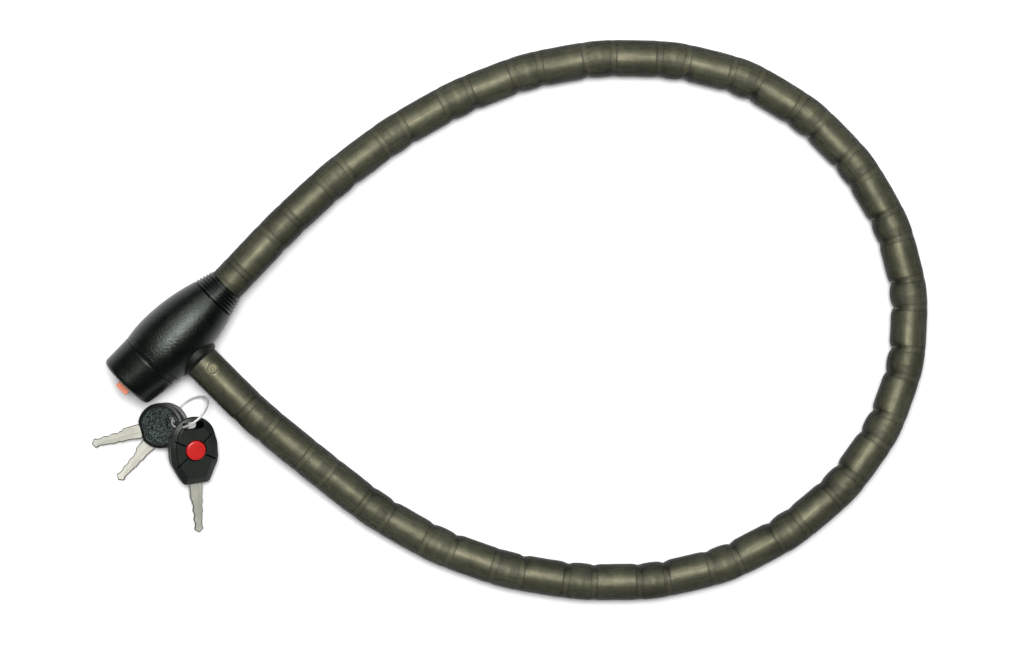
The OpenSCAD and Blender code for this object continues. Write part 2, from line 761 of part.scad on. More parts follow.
module key_plug() {
    color(brass) in_head() difference() {
        union() {
            translate([0, 0, body_front]) cylinder(r = plug_r, h = plug_end - body_front, $fn = 72);
            translate([0, 0, plug_end - past]) linear_extrude(cam_end - cam_web - running_fit - plug_end + past)
                tail_section(tail_r, tail_flat);
        }
        translate([-keyway_w / 2, -keyway_h / 2, body_front - past])
            cube([keyway_w, keyway_h, plug_end - body_front - 1]);
        for (i = [0:wafer_count - 1])
            translate([-wafer_w / 2 - 0.1, -2 * plug_r, wafer_first + i * wafer_pitch - 0.1])
                cube([wafer_w + 0.2, 4 * plug_r, wafer_t + 0.2]);
    }
}

module wafers() {
    color(brass) in_head() for (i = [0:wafer_count - 1])
        translate([0, 0, wafer_first + i * wafer_pitch]) linear_extrude(wafer_t) difference() {
            intersection() {
                circle(r = plug_r - 0.1, $fn = 64);
                square([wafer_w, 4 * plug_r], center = true);
            }
            square([keyway_w + 0.6, keyway_h + 0.4], center = true);
        }
}

module plug_clip() {
    color(steel) in_head() translate([0, 0, clip_at]) linear_extrude(clip_t) difference() {
        circle(r = clip_r, $fn = 64);
        circle(r = tail_r + fit, $fn = 48);
        translate([0, -tail_r]) square([2 * clip_r, 2 * tail_r]);
    }
}

module plug_cam() {
    color(zinc) in_head() {
        difference() {
            translate([0, 0, cam_start]) cylinder(r = cam_r, h = cam_t, $fn = 64);
            translate([0, 0, cam_start - past]) linear_extrude(cam_t - cam_web + past)
                tail_section(tail_r + running_fit, tail_flat + running_fit);
        }
        translate([pin_rest_x, pin_rest_y, cam_end - cam_web / 2])
            cylinder(r = cam_pin_r, h = cam_pin_len + cam_web / 2, $fn = 32);
    }
}

module cylinder_pin() {
    color(steel) in_head() translate([0, cylinder_pin_tip + fit, cylinder_pin_at]) rotate([-90, 0, 0])
        cylinder(r = cross_pin_r, h = body_nose_r - cylinder_pin_tip - 2 * fit, $fn = 32);
}

module latch_plate() {
    color(steel) in_head() difference() {
        union() {
            translate([-latch_t / 2, -latch_h, latch_front])
                cube([latch_t, 2 * latch_h, latch_back - latch_front]);
            translate([slot_x0 - yoke_wall, pin_rest_y - slot_h - yoke_wall, latch_front])
                cube([slot_x1 - slot_x0 + 2 * yoke_wall, 2 * (slot_h + yoke_wall), yoke_t]);
        }
        // Slot of the cam pin
        translate([slot_x0, pin_rest_y - slot_h, latch_front - past])
            cube([slot_x1 - slot_x0, 2 * slot_h, past + cam_end + cam_pin_len + fit - latch_front]);
        // The bolt passes the large hole, and its groove the small one
        translate([0, 0, port_at]) rotate([0, 90, 0])
            cylinder(r = bolt_r + latch_fit, h = 4 * latch_t, center = true, $fn = 64);
        translate([0, -latch_travel, port_at]) rotate([0, 90, 0])
            cylinder(r = groove_r + latch_fit, h = 4 * latch_t, center = true, $fn = 64);
    }
}

// Compression spring under the latch plate, coiled along -Y of the head's frame
spring_top = latch_h + 0.15;
spring_len = spring_floor - spring_top - 0.15;
spring_steps = 8 * spring_curls;
function spring_turn(i) = 360 * spring_curls * i / spring_steps;
function spring_point(i) = [
    (spring_r - spring_wire / 2) * cos(spring_turn(i)),
    -spring_top - spring_wire / 2 - (spring_len - spring_wire) * i / spring_steps,
    spring_at + (spring_r - spring_wire / 2) * sin(spring_turn(i))
];

module latch_spring() {
    color(steel) in_head() solid_tube(
        [for (i = [0:spring_steps]) [
            spring_point(i), spring_point(min(i + 1, spring_steps)) - spring_point(max(i - 1, 0))
        ]],
        spring_wire / 2, 6, [0, 1, 0]
    );
}

module rope_anchor() {
    color(steel) in_head() difference() {
        translate([0, 0, anchor_start]) cylinder(r = anchor_r, h = anchor_end - anchor_start, $fn = 48);
        translate([0, 0, anchor_socket]) cylinder(r = rope_r + running_fit, h = anchor_end, $fn = 48);
        translate([0, 0, anchor_pin_at]) rotate([90, 0, 0])
            cylinder(r = cross_pin_r + running_fit, h = 4 * anchor_r, center = true, $fn = 32);
    }
}

// Radius of the lock body where the anchor's pin crosses its taper
anchor_pin_reach = body_r - body_tail_drop * max(0, anchor_pin_at - body_taper_at) / body_taper_len;

module anchor_pin() {
    color(steel) in_head() translate([0, 0, anchor_pin_at]) rotate([90, 0, 0])
        cylinder(r = cross_pin_r, h = 2 * (anchor_pin_reach - anchor_pin_sink), center = true, $fn = 32);
}

// ---------------------------------------------------------------- keys

module rounded_slot(size) {
    hull() for (x = [-1, 1], y = [-1, 1])
        translate([x * (size[0] / 2 - slot_corner_r), y * (size[1] / 2 - slot_corner_r)])
            circle(r = slot_corner_r, $fn = 24);
}

// A blade from its root at x = 0, cut along both edges to a blunt point
function cut_edge(w, l, side) = [
    for (i = [0:len(blade_cuts) - 1]) each let (step = (l - w / 2) / len(blade_cuts)) [
        [i * step, side * (w / 2 - blade_cuts[i])],
        [(i + 0.6) * step, side * (w / 2 - blade_cuts[i])]
    ]
];
function reversed(list) = [for (i = [len(list) - 1:-1:0]) list[i]];

module blade(w, l) {
    difference() {
        translate([0, 0, -blade_t / 2]) linear_extrude(blade_t) {
            polygon(concat(
                [[-tang_len, -tang_w / 2], [0, -tang_w / 2]], cut_edge(w, l, -1),
                [[l - tip_len, -1], [l, 0], [l - tip_len, 1]],
                reversed(cut_edge(w, l, 1)), [[0, tang_w / 2], [-tang_len, tang_w / 2]]
            ));
        }
        // Milled grooves, one in each face
        for (side = [-1, 1])
            translate([
                groove_start, (side * w - 2 * groove_w) / 4,
                side > 0 ? blade_t / 2 - groove_depth : -blade_t / 2 - past + groove_depth
            ]) cube([l - groove_stop, groove_w, past]);
    }
}

bow_root = bow_at + 12;

module plain_bow() {
    difference() {
        translate([0, 0, -bow_t / 2]) linear_extrude(bow_t) intersection() {
            translate([bow_at, 0]) circle(d = bow_d, $fn = 96);
            translate([bow_at - bow_d, -bow_d / 2]) square([bow_root - bow_at + bow_d, bow_d]);
        }
        translate([bow_slot_at, 0, -bow_t]) linear_extrude(2 * bow_t) rounded_slot(bow_slot);
        translate([bow_root - tang_len - key_fit, -tang_w / 2 - key_fit, -blade_t / 2 - key_fit])
            cube([tang_len + past, tang_w + 2 * key_fit, blade_t + 2 * key_fit]);
    }
}

module plain_blade() {
    translate([bow_root, 0, 0]) blade(blade_w, blade_len);
}

module key_1_blade() { color(nickel) at_key(key_1_pose) plain_blade(); }
module key_1_bow() { color(black_plastic) at_key(key_1_pose) plain_bow(); }
module key_2_blade() { color(nickel) at_key(key_2_pose) plain_blade(); }
module key_2_bow() { color(black_plastic) at_key(key_2_pose) plain_bow(); }

// Outline of the lit key's bow, drawn in by an inset: round at the ring, widest past the middle and
// tapered to the blade
lit_end = lit_len - lit_rim;
lit_round_r = 12.3;
module lit_outline(inset = 0) {
    half = lit_half_w - inset;
    hull() {
        translate([lit_round_r - lit_rim, 0]) circle(r = lit_round_r - inset, $fn = 64);
        polygon([
            [lit_round_r, -half], [lit_len * 0.47, -half], [lit_len * 0.58, 0.75 - half],
            [lit_end - 1 - inset, -7.8 + inset / 2], [lit_end - inset, -6.6 + inset / 2],
            [lit_end - inset, 6.6 - inset / 2], [lit_end - 1 - inset, 7.8 - inset / 2],
            [lit_len * 0.58, half - 0.75], [lit_len * 0.47, half], [lit_round_r, half]
        ]);
    }
}

// The room that the shells leave for what they hold
lit_floor = lit_t / 2 - lit_wall;
module lit_cavity() {
    room = [lit_lug_len + lit_wall, lit_end - lit_wall - tang_len / 2];
    intersection() {
        translate([0, 0, -lit_floor]) linear_extrude(2 * lit_floor) lit_outline(lit_panel_inset);
        translate([room[0], -lit_w, -lit_t]) cube([room[1] - room[0], 2 * lit_w, 2 * lit_t]);
    }
}

module lit_tang_slot() {
    translate([lit_end - tang_len - key_fit, -tang_w / 2 - key_fit, -blade_t / 2 - key_fit])
        cube([tang_len + past, tang_w + 2 * key_fit, blade_t + 2 * key_fit]);
}

// Opening of the lamp in the tapered wall
lamp_at = [lit_end - 7.2, -6.2];
lamp_turn = -30;
lamp_len = 2.2;
module in_lamp() {
    translate([lamp_at[0], lamp_at[1], 0]) rotate([0, 0, lamp_turn]) rotate([0, 90, 0]) children();
}
module lit_lamp_bore() {
    in_lamp() cylinder(r = lamp_d / 2 + running_fit, h = 4 * lamp_d, $fn = 32);
}

module lit_key_upper_shell() {
    rise = lit_t / 2 - lit_panel_rise;
    color(black_plastic) at_key(lit_pose) difference() {
        hull() {
            translate([0, 0, key_fit / 2]) linear_extrude(rise) lit_outline();
            translate([0, 0, rise]) linear_extrude(lit_panel_rise) lit_outline(lit_panel_inset);
        }
        lit_cavity();
        // The ring end is a thin lug with the ring's slot
        translate([-lit_w, -lit_w, -past]) cube([lit_w + lit_lug_len, 2 * lit_w, lit_t / 2 - lit_lug_t + past]);
        translate([0, 0, -lit_t]) linear_extrude(2 * lit_t) rounded_slot(lit_slot);
        translate([lit_button_at, 0, 0]) cylinder(r = button_d / 2 + fit, h = lit_t, $fn = 64);
        lit_tang_slot();
        lit_lamp_bore();
    }
}

module lit_key_lower_shell() {
    color(black_plastic) at_key(lit_pose) difference() {
        intersection() {
            hull() {
                translate([0, 0, 1 - lit_t / 2]) linear_extrude(lit_t / 2 - 1 - key_fit / 2) lit_outline();
                translate([0, 0, -lit_t / 2]) linear_extrude(0.5) lit_outline(1);
            }
            translate([lit_lug_len, -lit_w, -lit_t]) cube([lit_len, 2 * lit_w, lit_t]);
        }
        lit_cavity();
        lit_tang_slot();
        lit_lamp_bore();
        translate([screw_at, 0, -lit_t]) cylinder(r = screw_r + running_fit, h = lit_t, $fn = 32);
        translate([screw_at, 0, screw_seat - lit_t]) cylinder(r = screw_head_r + fit / 2, h = lit_t, $fn = 32);
    }
}

button_flange = 0.7;
button_flange_t = 0.8;
button_head = lit_t / 2 + 0.6;
module lit_key_button() {
    color(red) at_key(lit_pose) translate([lit_button_at, 0, 0]) {
        translate([0, 0, lit_floor - button_flange_t - key_fit])
            cylinder(r = button_d / 2 + button_flange, h = button_flange_t, $fn = 64);
        translate([0, 0, lit_floor - button_flange_t])
            cylinder(r = button_d / 2, h = button_head - lit_floor + button_flange_t, $fn = 64);
    }
}

board_top = lit_floor - button_flange_t - key_fit - button_travel - dome_h - 0.1;
module lit_key_board() {
    color(board_green) at_key(lit_pose) {
        translate([lit_button_at, 0, board_top - board_t]) linear_extrude(board_t)
            square(board_size, center = true);
        translate([lit_button_at, 0, board_top - board_t / 2])
            cylinder(r = dome_r, h = board_t / 2 + dome_h, $fn = 48);
    }
}

module lit_key_cell() {
    color(nickel) at_key(lit_pose) translate([lit_button_at, 0, board_top - board_t - 0.1 - cell_t])
        cylinder(d = cell_d, h = cell_t, $fn = 64);
}

module lit_key_lamp() {
    color(clear) at_key(lit_pose) in_lamp() {
        cylinder(d = lamp_d, h = lamp_len, $fn = 32);
        translate([0, 0, lamp_len]) sphere(d = lamp_d, $fn = 32);
    }
}

module lit_key_screw() {
    color(steel) at_key(lit_pose) translate([screw_at, 0, screw_seat]) {
        translate([0, 0, -screw_head_t - key_fit]) cylinder(r = screw_head_r, h = screw_head_t, $fn = 32);
        translate([0, 0, -screw_head_t]) cylinder(r = screw_r, h = screw_len + screw_head_t, $fn = 32);
    }
}

module lit_key_blade() {
    color(nickel) at_key(lit_pose) translate([lit_end, 0, 0]) blade(lit_blade_w, lit_blade_len);
}

// Two turns of wire, pressed together
module split_ring() {
    color(nickel) translate(ring_at) rotate([0, 0, ring_heading]) rotate([ring_tilt, 0, 0])
        rotate_extrude($fn = 96) translate([ring_r, 0])
            for (side = [-1, 1]) translate([0, side * ring_wire * 0.46]) circle(d = ring_wire, $fn = 24);
}

// ---------------------------------------------------------------- the part

barrel_casing();
end_cap();
neck_boot();
port_collar();
keyhole_cover();
lock_body();
cylinder_shell();
key_plug();
wafers();
plug_clip();
plug_cam();
cylinder_pin();
latch_plate();
latch_spring();
rope_anchor();
anchor_pin();
locking_bolt();
bolt_rivet();
end_sleeve();
sleeves_a();
sleeves_b();
sleeves_c();
sleeves_d();
couplers_a();
couplers_b();
couplers_c();
couplers_d();
wire_rope_a();
wire_rope_b();
wire_rope_c();
wire_rope_d();
sheath_a();
sheath_b();
sheath_c();
sheath_d();
key_1_blade();
key_1_bow();
key_2_blade();
key_2_bow();
lit_key_blade();
lit_key_upper_shell();
lit_key_lower_shell();
lit_key_button();
lit_key_board();
lit_key_cell();
lit_key_lamp();
lit_key_screw();
split_ring();
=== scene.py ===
"""Armoured cable lock, closed to a loop, with its three keys: the looks of its pieces."""

import math
from contextlib import contextmanager

import bmesh
import bpy
import numpy as np
from bpy.props import FloatProperty, FloatVectorProperty, IntProperty, PointerProperty
from mathutils import Matrix, Vector


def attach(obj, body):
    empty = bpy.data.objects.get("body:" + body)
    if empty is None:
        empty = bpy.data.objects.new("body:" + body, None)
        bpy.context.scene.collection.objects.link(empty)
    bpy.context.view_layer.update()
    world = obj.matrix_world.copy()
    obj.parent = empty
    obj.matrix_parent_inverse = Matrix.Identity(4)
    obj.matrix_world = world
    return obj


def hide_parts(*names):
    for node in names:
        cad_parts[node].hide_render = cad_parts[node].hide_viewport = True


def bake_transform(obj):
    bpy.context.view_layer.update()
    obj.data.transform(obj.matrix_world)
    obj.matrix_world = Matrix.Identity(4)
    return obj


bl_info = {
    "name": "Armoured cable lock",
    "version": (1, 0, 0),
    "blender": (4, 5, 0),
    "location": "View3D > Sidebar > Cable lock",
    "description": "Builds the sheath, the head, the keys and the studio of an armoured cable lock",
    "category": "Object",
}

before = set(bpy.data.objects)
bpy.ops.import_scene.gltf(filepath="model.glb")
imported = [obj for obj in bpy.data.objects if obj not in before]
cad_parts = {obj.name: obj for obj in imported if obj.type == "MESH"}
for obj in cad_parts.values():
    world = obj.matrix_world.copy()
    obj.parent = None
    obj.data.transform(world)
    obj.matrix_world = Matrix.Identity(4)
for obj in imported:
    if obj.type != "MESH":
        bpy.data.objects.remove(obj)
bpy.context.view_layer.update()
MM = 0.001
UP = Vector((0, 0, 1))

# ---------------------------------------------------------------- sizes shared with the solids, in mm

CABLE_R = 10.0
ARMOUR_R = 9.11
COUPLER_LEN = 12.2
FIRST_COUPLER = 3.6
END_GAP = 3.0
END_SLEEVE_LEN = 35.0
SLEEVE_FACE = 20.1
PORT_AT = 37.8
PORT_BORE_R = 6.2
COLLAR_R = 11.75
COLLAR_FACE = 19.6
BODY_R = 15.8
BODY_FIT = 0.2
RIVET_AT = 27.3
RIVET_TILT = math.radians(15)
NECK_END = 77.0
RIBS_FOOT = 67.7
ROPE_START = 54.6
SHEATH_START = 69.7
HEAD = Vector((-209.5, -35.5, 19.1))
HEAD_ANGLE = math.radians(45)
AXIS = Vector((math.cos(HEAD_ANGLE), math.sin(HEAD_ANGLE), 0))
BOLT = Vector((math.sin(HEAD_ANGLE), -math.cos(HEAD_ANGLE), 0))

ROUTE_A = [(-133.4, 42.4, 0.85), (-97.8, 76.8, 0.35)]
KNEE_START = (-64.7, 102.2)
ROUTE_B = [(-30, 122, 0), (20, 140, 0), (72, 145, 0), (124, 136, 0)]
ROUTE_C = [(193, 83, 0), (214, 43, 0), (221, 0, 0), (215.6, -35.2, 0), (196.4, -75.3, 0)]
ROUTE_D = [(130, -130, 0), (79, -144, 0), (26, -143, 0), (-25.2, -130.6, 0.02), (-71.6, -106.5, 0.15),
           (-113, -73.8, 0.6)]
KNEE_BASE = 309.0
KNEE_HEIGHT = 169.5
PAIRS = [3, 6, 7, 8]
ROUTE_STEPS = 10

# How finely the sheath is cut: in the neck, from coupler to coupler, at the last coupler, on the end sleeve
NECK_STATIONS = 15
PITCH_STATIONS = 53
COUPLER_STATIONS = 13
TAIL_STATIONS = 37
ROUNDING = 200

# The sheath runs on past its end sleeve, and the wire rope stops this many stations before its end
SHEATH_OVERHANG = 0.4
ROPE_SHORT = 28

# Places along the cable, measured from the middle of the nearest coupler, and half the width of what is there
GAP_AT, GAP_HALF = 7.7, 1.7
# Where thin lines of painted shade cross the sheath, at the ends of the sleeves and of the couplers, and
# their half width
SLEEVE_SHADE_LINE_AT, COUPLER_SHADE_LINE_AT, SHADE_LINE_HALF = 9.2, 6.2, 0.45
SWELL_HALF, FOLD_HALF = 3.6, 2.3
FOLD_LEAN = 7.0
FREE_FROM, FREE_TO = 6.5, 8.3
CUT_AT = 7.6
KNEE_HALF = 5.0

# How far the sheath is drawn in, how far round the rivet it is made easier to see through, and how far it
# keeps from the armour and the floor
SKIN_INSET = 0.06
GAP_DEPTH = 0.16
RIVET_CLEAR = 3.8
ARMOUR_CLEAR = 0.22
FLOOR_CLEAR = 0.02

# Degrees that the cable turns at a coupler where its folds are full, and at the last one
FULL_BEND = 15.0
LAST_BEND = -4.0

# Slot centre, heading, pitch and roll of each key as it lies on the heap, and of the ring
KEY_1_POSE = ((-187.7, -56.9, 9.95), 195, 9.8, -0.4)
KEY_2_POSE = ((-186.7, -54.3, 5.9), 228.5, 6.1, 2.4)
LIT_POSE = ((-174.7, -57, 16.35), 272.4, 14.2, -21.2)
RING_POSE = ((-176, -50.7, 11.4), 35.2, 0, -57.3)

BOW_AT = 5.0
BOW_R = 12.5
BOW_ROOT = 16.4
BOW_T = 3.0
RIM_W = 1.8
PANEL_DEPTH = 0.22
DIMPLE_AT = (10.0, 0.6)
BLADE_LEN = 29.1
BLADE_T = 1.8
DEEP_EDGE = [4.05, 4.05, 4.0, 3.95, 2.9, 2.3, 2.7, 2.1, 2.5, 2.0]
SHALLOW_EDGE = [4.0, 3.75, 3.3, 3.05, 3.2, 2.7, 2.95, 2.5, 2.3, 2.05]
TANG_LEN = 8.0
TANG_W = 6.0
LIT_RIM = 4.5
LIT_LEN = 38.0
LIT_W = 26.7
LIT_END = LIT_LEN - LIT_RIM
LIT_BUTTON_AT = 14.2
LIT_BUTTON_SIDE = 0.5
LIT_BUTTON_R = 5.4
LIT_SLOT_OPEN = 2.2
LIT_POCKET_FLOOR = 1.9
LIT_HOLE_R = 6.0
LIT_HOLE_FLOOR = 1.0
LIT_GROOVE_FROM, LIT_GROOVE_TO = 6.3, 15.0
LIT_GROOVE_FLOOR = 3.5
LIT_GROOVE_ANGLES = (60, 130, 240, 308)
LIT_WINDOW_AT, LIT_WINDOW_TURN = (28.6, -9.8, -1.2), 25
LIT_SCREW_AT = (26.5, 0)
LIT_TOP = 4.5

# The lit key's blade, and its width at the root as a share of a plain one's
LIT_BLADE_LEN, LIT_BLADE_ROOT = 28.6, 0.88

# Degrees from the ring's X to the end of its wire
RING_END = 150


# ---------------------------------------------------------------- the cable's route

def floor_point(p):
    """A point of the route, from its share of the rise to the lock's axis."""
    return Vector((p[0], p[1], CABLE_R + p[2] * (HEAD.z - CABLE_R)))


def head_point(x, y, z):
    """A point of the head's own frame, in the row frame: x away from the port, y up, z along the axis."""
    return HEAD + z * AXIS - x * BOLT + y * UP


def rivet_place(height):
    """A point on the rivet's axis, at a height from the middle of the bolt."""
    up = math.cos(RIVET_TILT) * UP + math.sin(RIVET_TILT) * AXIS
    return head_point(-RIVET_AT, 0, PORT_AT) + height * up


def hump(x, middle, half):
    """1 at the middle, falling off smoothly to either side."""
    return math.exp(-((x - middle) / half) ** 2)


class Route:
    """The middle line of the cable, with the places of its sleeves and couplers."""

    def __init__(self):
        knee_1 = floor_point((*KNEE_START, 0))
        knee_3 = knee_1 + KNEE_BASE * BOLT
        knee_2 = (knee_1 + knee_3) / 2 + KNEE_HEIGHT * AXIS
        points = [head_point(0, 0, NECK_END)]
        places = []
        for group, knee in zip((ROUTE_A, ROUTE_B, ROUTE_C), (knee_1, knee_2, knee_3)):
            points += [floor_point(p) for p in group]
            places.append(len(points))
            points.append(knee)
        points += [floor_point(p) for p in ROUTE_D]
        points.append(head_point(-SLEEVE_FACE - END_SLEEVE_LEN, 0, PORT_AT))
        self.curve = self.smooth(points)
        steps = [0.0] + [(b - a).length for a, b in zip(self.curve, self.curve[1:])]
        self.runs = np.cumsum(steps)
        self.table = np.array([tuple(p) for p in self.curve])
        last = self.runs[-1] - END_GAP - COUPLER_LEN / 2
        ends = [FIRST_COUPLER] + [self.runs[i * ROUTE_STEPS] for i in places] + [last]
        runs = []
        for count, low, high in zip(PAIRS, ends, ends[1:]):
            runs += [low + k * (high - low) / count for k in range(count)]
        self.couplers = [self.at(s) for s in runs + [last]]
        firsts = [sum(PAIRS[:i]) for i in range(4)]
        self.knees = firsts[1:]
        self.knee_points = [knee_1, knee_2, knee_3]

    @staticmethod
    def smooth(points):
        chords = [(b - a).length for a, b in zip(points, points[1:])]
        slopes = [AXIS.copy()]
        for i in range(1, len(points) - 1):
            before, after = points[i] - points[i - 1], points[i + 1] - points[i]
            slope = before / chords[i - 1] * chords[i] + after / chords[i] * chords[i - 1]
            slopes.append(slope.normalized())
        slopes.append(-BOLT)
        curve = []
        for i, chord in enumerate(chords):
            for k in range(ROUTE_STEPS):
                t = k / ROUTE_STEPS
                curve.append(
                    (2 * t**3 - 3 * t**2 + 1) * points[i] + (t**3 - 2 * t**2 + t) * chord * slopes[i]
                    + (3 * t**2 - 2 * t**3) * points[i + 1] + (t**3 - t**2) * chord * slopes[i + 1]
                )
        return curve + [points[-1]]

    def at(self, s):
        return Vector([float(np.interp(s, self.runs, self.table[:, k])) for k in range(3)])

    def stations(self):
        """The line that the armour really follows: straight through each sleeve, and turning at each coupler.
        Each station is (point, direction, nearest coupler's number, signed distance from it)."""
        stations = []
        for away in np.linspace(SHEATH_START - NECK_END - FIRST_COUPLER, 0, NECK_STATIONS)[:-1].tolist():
            stations.append((self.couplers[0] + away * AXIS, 0, away))
        for k in range(len(self.couplers) - 1):
            a, b = self.couplers[k], self.couplers[k + 1]
            pitch = (b - a).length
            direction = (b - a) / pitch
            for d in np.linspace(0, pitch, PITCH_STATIONS)[:-1].tolist():
                near, away = (k, d) if d < pitch / 2 else (k + 1, d - pitch)
                stations.append((a + d * direction, near, away))
        last = len(self.couplers) - 1
        stations.append((self.couplers[-1], last, 0.0))
        tail = head_point(-SLEEVE_FACE - END_SLEEVE_LEN, 0, PORT_AT)
        for share in np.linspace(0, 1, COUPLER_STATIONS)[1:].tolist():
            point = self.couplers[-1].lerp(tail, share)
            stations.append((point, last, (point - self.couplers[-1]).length))
        for d in np.linspace(0, END_SLEEVE_LEN + SHEATH_OVERHANG, TAIL_STATIONS)[1:].tolist():
            stations.append((tail - d * BOLT, last, (tail - self.couplers[-1]).length + d))
        return self.rounded(stations)

    @staticmethod
    def rounded(stations):
        """The same stations, with the corners at the couplers rounded."""
        points = np.array([tuple(s[0]) for s in stations])
        for _ in range(ROUNDING):
            points[1:-1] = 0.5 * points[1:-1] + 0.25 * (points[:-2] + points[2:])
        slopes = np.gradient(points, axis=0)
        return [(Vector(p), Vector(slope).normalized(), near, away)
                for p, slope, (_, near, away) in zip(points, slopes, stations)]


# ---------------------------------------------------------------- materials

MOULD_GRAIN = 1150.0
SOFT_EDGE = 3e-4


class Val:
    """A number socket of a material, for sums that add their own Math nodes."""

    def __init__(self, finish, socket):
        self.finish, self.socket = finish, socket

    def maths(self, operation, *values):
        inputs = dict(enumerate(values))
        made = self.finish.node("ShaderNodeMath", {"operation": operation}, inputs)
        return Val(self.finish, made.outputs[0])

    def __add__(self, other):
        return self.maths("ADD", self, other)

    def __sub__(self, other):
        return self.maths("SUBTRACT", self, other)

    def __mul__(self, other):
        return self.maths("MULTIPLY", self, other)

    def __rsub__(self, other):
        return self.maths("SUBTRACT", other, self)

    __radd__ = __add__
    __rmul__ = __mul__

    def clamp(self, low=0.0, high=1.0):
        return self.maths("MINIMUM", self.maths("MAXIMUM", self, low), high)

    def step(self, low, high):
        """0 below low and 1 above high, smoothly between."""
        ranged = self.finish.node(
            "ShaderNodeMapRange", {"interpolation_type": "SMOOTHSTEP"},
            {"Value": self, "From Min": low, "From Max": high},
        )
        return Val(self.finish, ranged.outputs[0])


class Finish:
    """A procedural material on one Principled shader."""

    def __init__(self, name, **fixed):
        self.material = bpy.data.materials.new(name)
        self.material.use_nodes = True
        self.tree = self.material.node_tree
        self.tree.nodes.clear()
        sockets = {key.replace("_", " "): value for key, value in fixed.items()}
        self.shader = self.node("ShaderNodeBsdfPrincipled", {}, sockets)
        self.node("ShaderNodeOutputMaterial", {}, {"Surface": self.shader.outputs[0]})
        self.coords = self.node("ShaderNodeTexCoord").outputs["Object"]

    def node(self, kind, settings=None, values=None):
        made = self.tree.nodes.new(kind)
        for key, value in (settings or {}).items():
            setattr(made, key, value)
        for key, value in (values or {}).items():
            socket = made.inputs[key]
            value = value.socket if isinstance(value, Val) else value
            if isinstance(value, bpy.types.NodeSocket):
                self.tree.links.new(value, socket)
            else:
                socket.default_value = value
        return made

    def feed(self, **values):
        for key, value in values.items():
            value = value.socket if isinstance(value, Val) else value
            self.tree.links.new(value, self.shader.inputs[key.replace("_", " ")])

    def noise(self, scale, detail=3.0, roughness=0.55, at=None):
        made = self.node(
            "ShaderNodeTexNoise", {},
            {"Vector": at or self.coords, "Scale": scale, "Detail": detail, "Roughness": roughness},
        )
        return Val(self, made.outputs["Fac"])

    def cells(self, scale):
        values = {"Vector": self.coords, "Scale": scale}
        made = self.node("ShaderNodeTexVoronoi", {"feature": "SMOOTH_F1"}, values)
        return Val(self, made.outputs["Distance"])

    def attribute(self, name):
        return Val(self, self.node("ShaderNodeAttribute", {"attribute_name": name}).outputs["Fac"])

    def mix(self, share, a, b):
        """A colour between two others."""
        made = self.node("ShaderNodeMix", {"data_type": "RGBA"}, {0: share, 6: a, 7: b})
        return made.outputs[2]

    def relief(self, height, depth, soft=None):
        """A bump of that depth in metres, over edges softened by a radius in metres."""
        values = {"Height": height, "Strength": 1.0, "Distance": depth}
        if soft:
            values["Normal"] = self.node("ShaderNodeBevel", {"samples": 4}, {"Radius": soft}).outputs[0]
        return self.node("ShaderNodeBump", {}, values).outputs[0]


def rgba(colour, light=1.0):
    return (*[c * light for c in colour[:3]], 1.0)


def moulded(name, colour, depth=1.9e-4, roughness=0.25, wear=0.14, shine=0.42):
    """A moulded plastic with a fine spark-eroded grain, dull and shiny patches, and painted shade: the marked
    hollows are painted black.
    """
    f = Finish(name, IOR=1.46, Specular_IOR_Level=shine, Specular_Tint=(0.9, 1.0, 0.91, 1.0))
    patches = f.noise(140.0, 4.0)
    fine = f.noise(MOULD_GRAIN, 3.0, 0.6)
    # Painted shade: faces of the marked hollows are made black, metallic on a near-black colour
    hollow = f.attribute("hollow")
    f.feed(
        Base_Color=f.mix(patches.step(0.3, 0.7) * (1.0 - hollow), rgba(colour, 0.82), rgba(colour, 1.2)),
        Metallic=hollow,
        Roughness=roughness - 0.06 + wear * patches + 0.06 * fine + 0.4 * hollow,
        Normal=f.relief(fine + 0.15 * f.noise(MOULD_GRAIN / 4, 2.0), depth, SOFT_EDGE),
    )
    return f.material


def leathered(name, colour):
    """Smooth plastic, with a pebbled grain where the face carries its panel, and painted glints: the tops of
    the pebbles are painted far brighter.
    """
    f = Finish(name, IOR=1.48, Specular_IOR_Level=0.4)
    pebbles = f.cells(1250.0)
    fine = f.noise(2400.0, 2.0)
    panel = f.attribute("panel")
    # Painted glints: the tops of the pebbles on the panel are painted up to twenty times brighter
    high = (1.0 - pebbles * 1.3).clamp() * panel
    f.feed(
        Base_Color=f.mix(high.step(0.3, 0.9), rgba(colour, 0.8), rgba(colour, 20.0)),
        Roughness=0.3 + 0.1 * panel - 0.14 * high + 0.05 * fine,
        Normal=f.relief(high + (0.1 + 0.35 * panel) * fine, 7e-4, SOFT_EDGE),
    )
    return f.material


def bare_metal(name, colour, roughness=0.3, soft=1.5e-4, metallic=1.0):
    """A metal with a fine ground skin, dull stains, and painted shade: the steep faces marked as cut are
    painted darker.
    """
    f = Finish(name, Metallic=metallic)
    lines = f.noise(900.0, 4.0, 0.6)
    stains = f.noise(90.0, 3.0)
    # Painted shade: the steep faces marked as cut, the blade's edges and the walls of its grooves, are
    # painted darker
    cut = f.attribute("cut")
    face = f.mix(stains.step(0.25, 0.75) * 0.6 + lines * 0.4, rgba(colour, 0.75), rgba(colour, 1.08))
    f.feed(
        Base_Color=f.mix(cut * (0.6 + 0.6 * stains).clamp(), face, rgba(colour, 0.22)),
        Roughness=roughness - 0.06 + 0.14 * stains + 0.06 * lines,
        Normal=f.relief(lines, 1.2e-5, soft),
    )
    return f.material


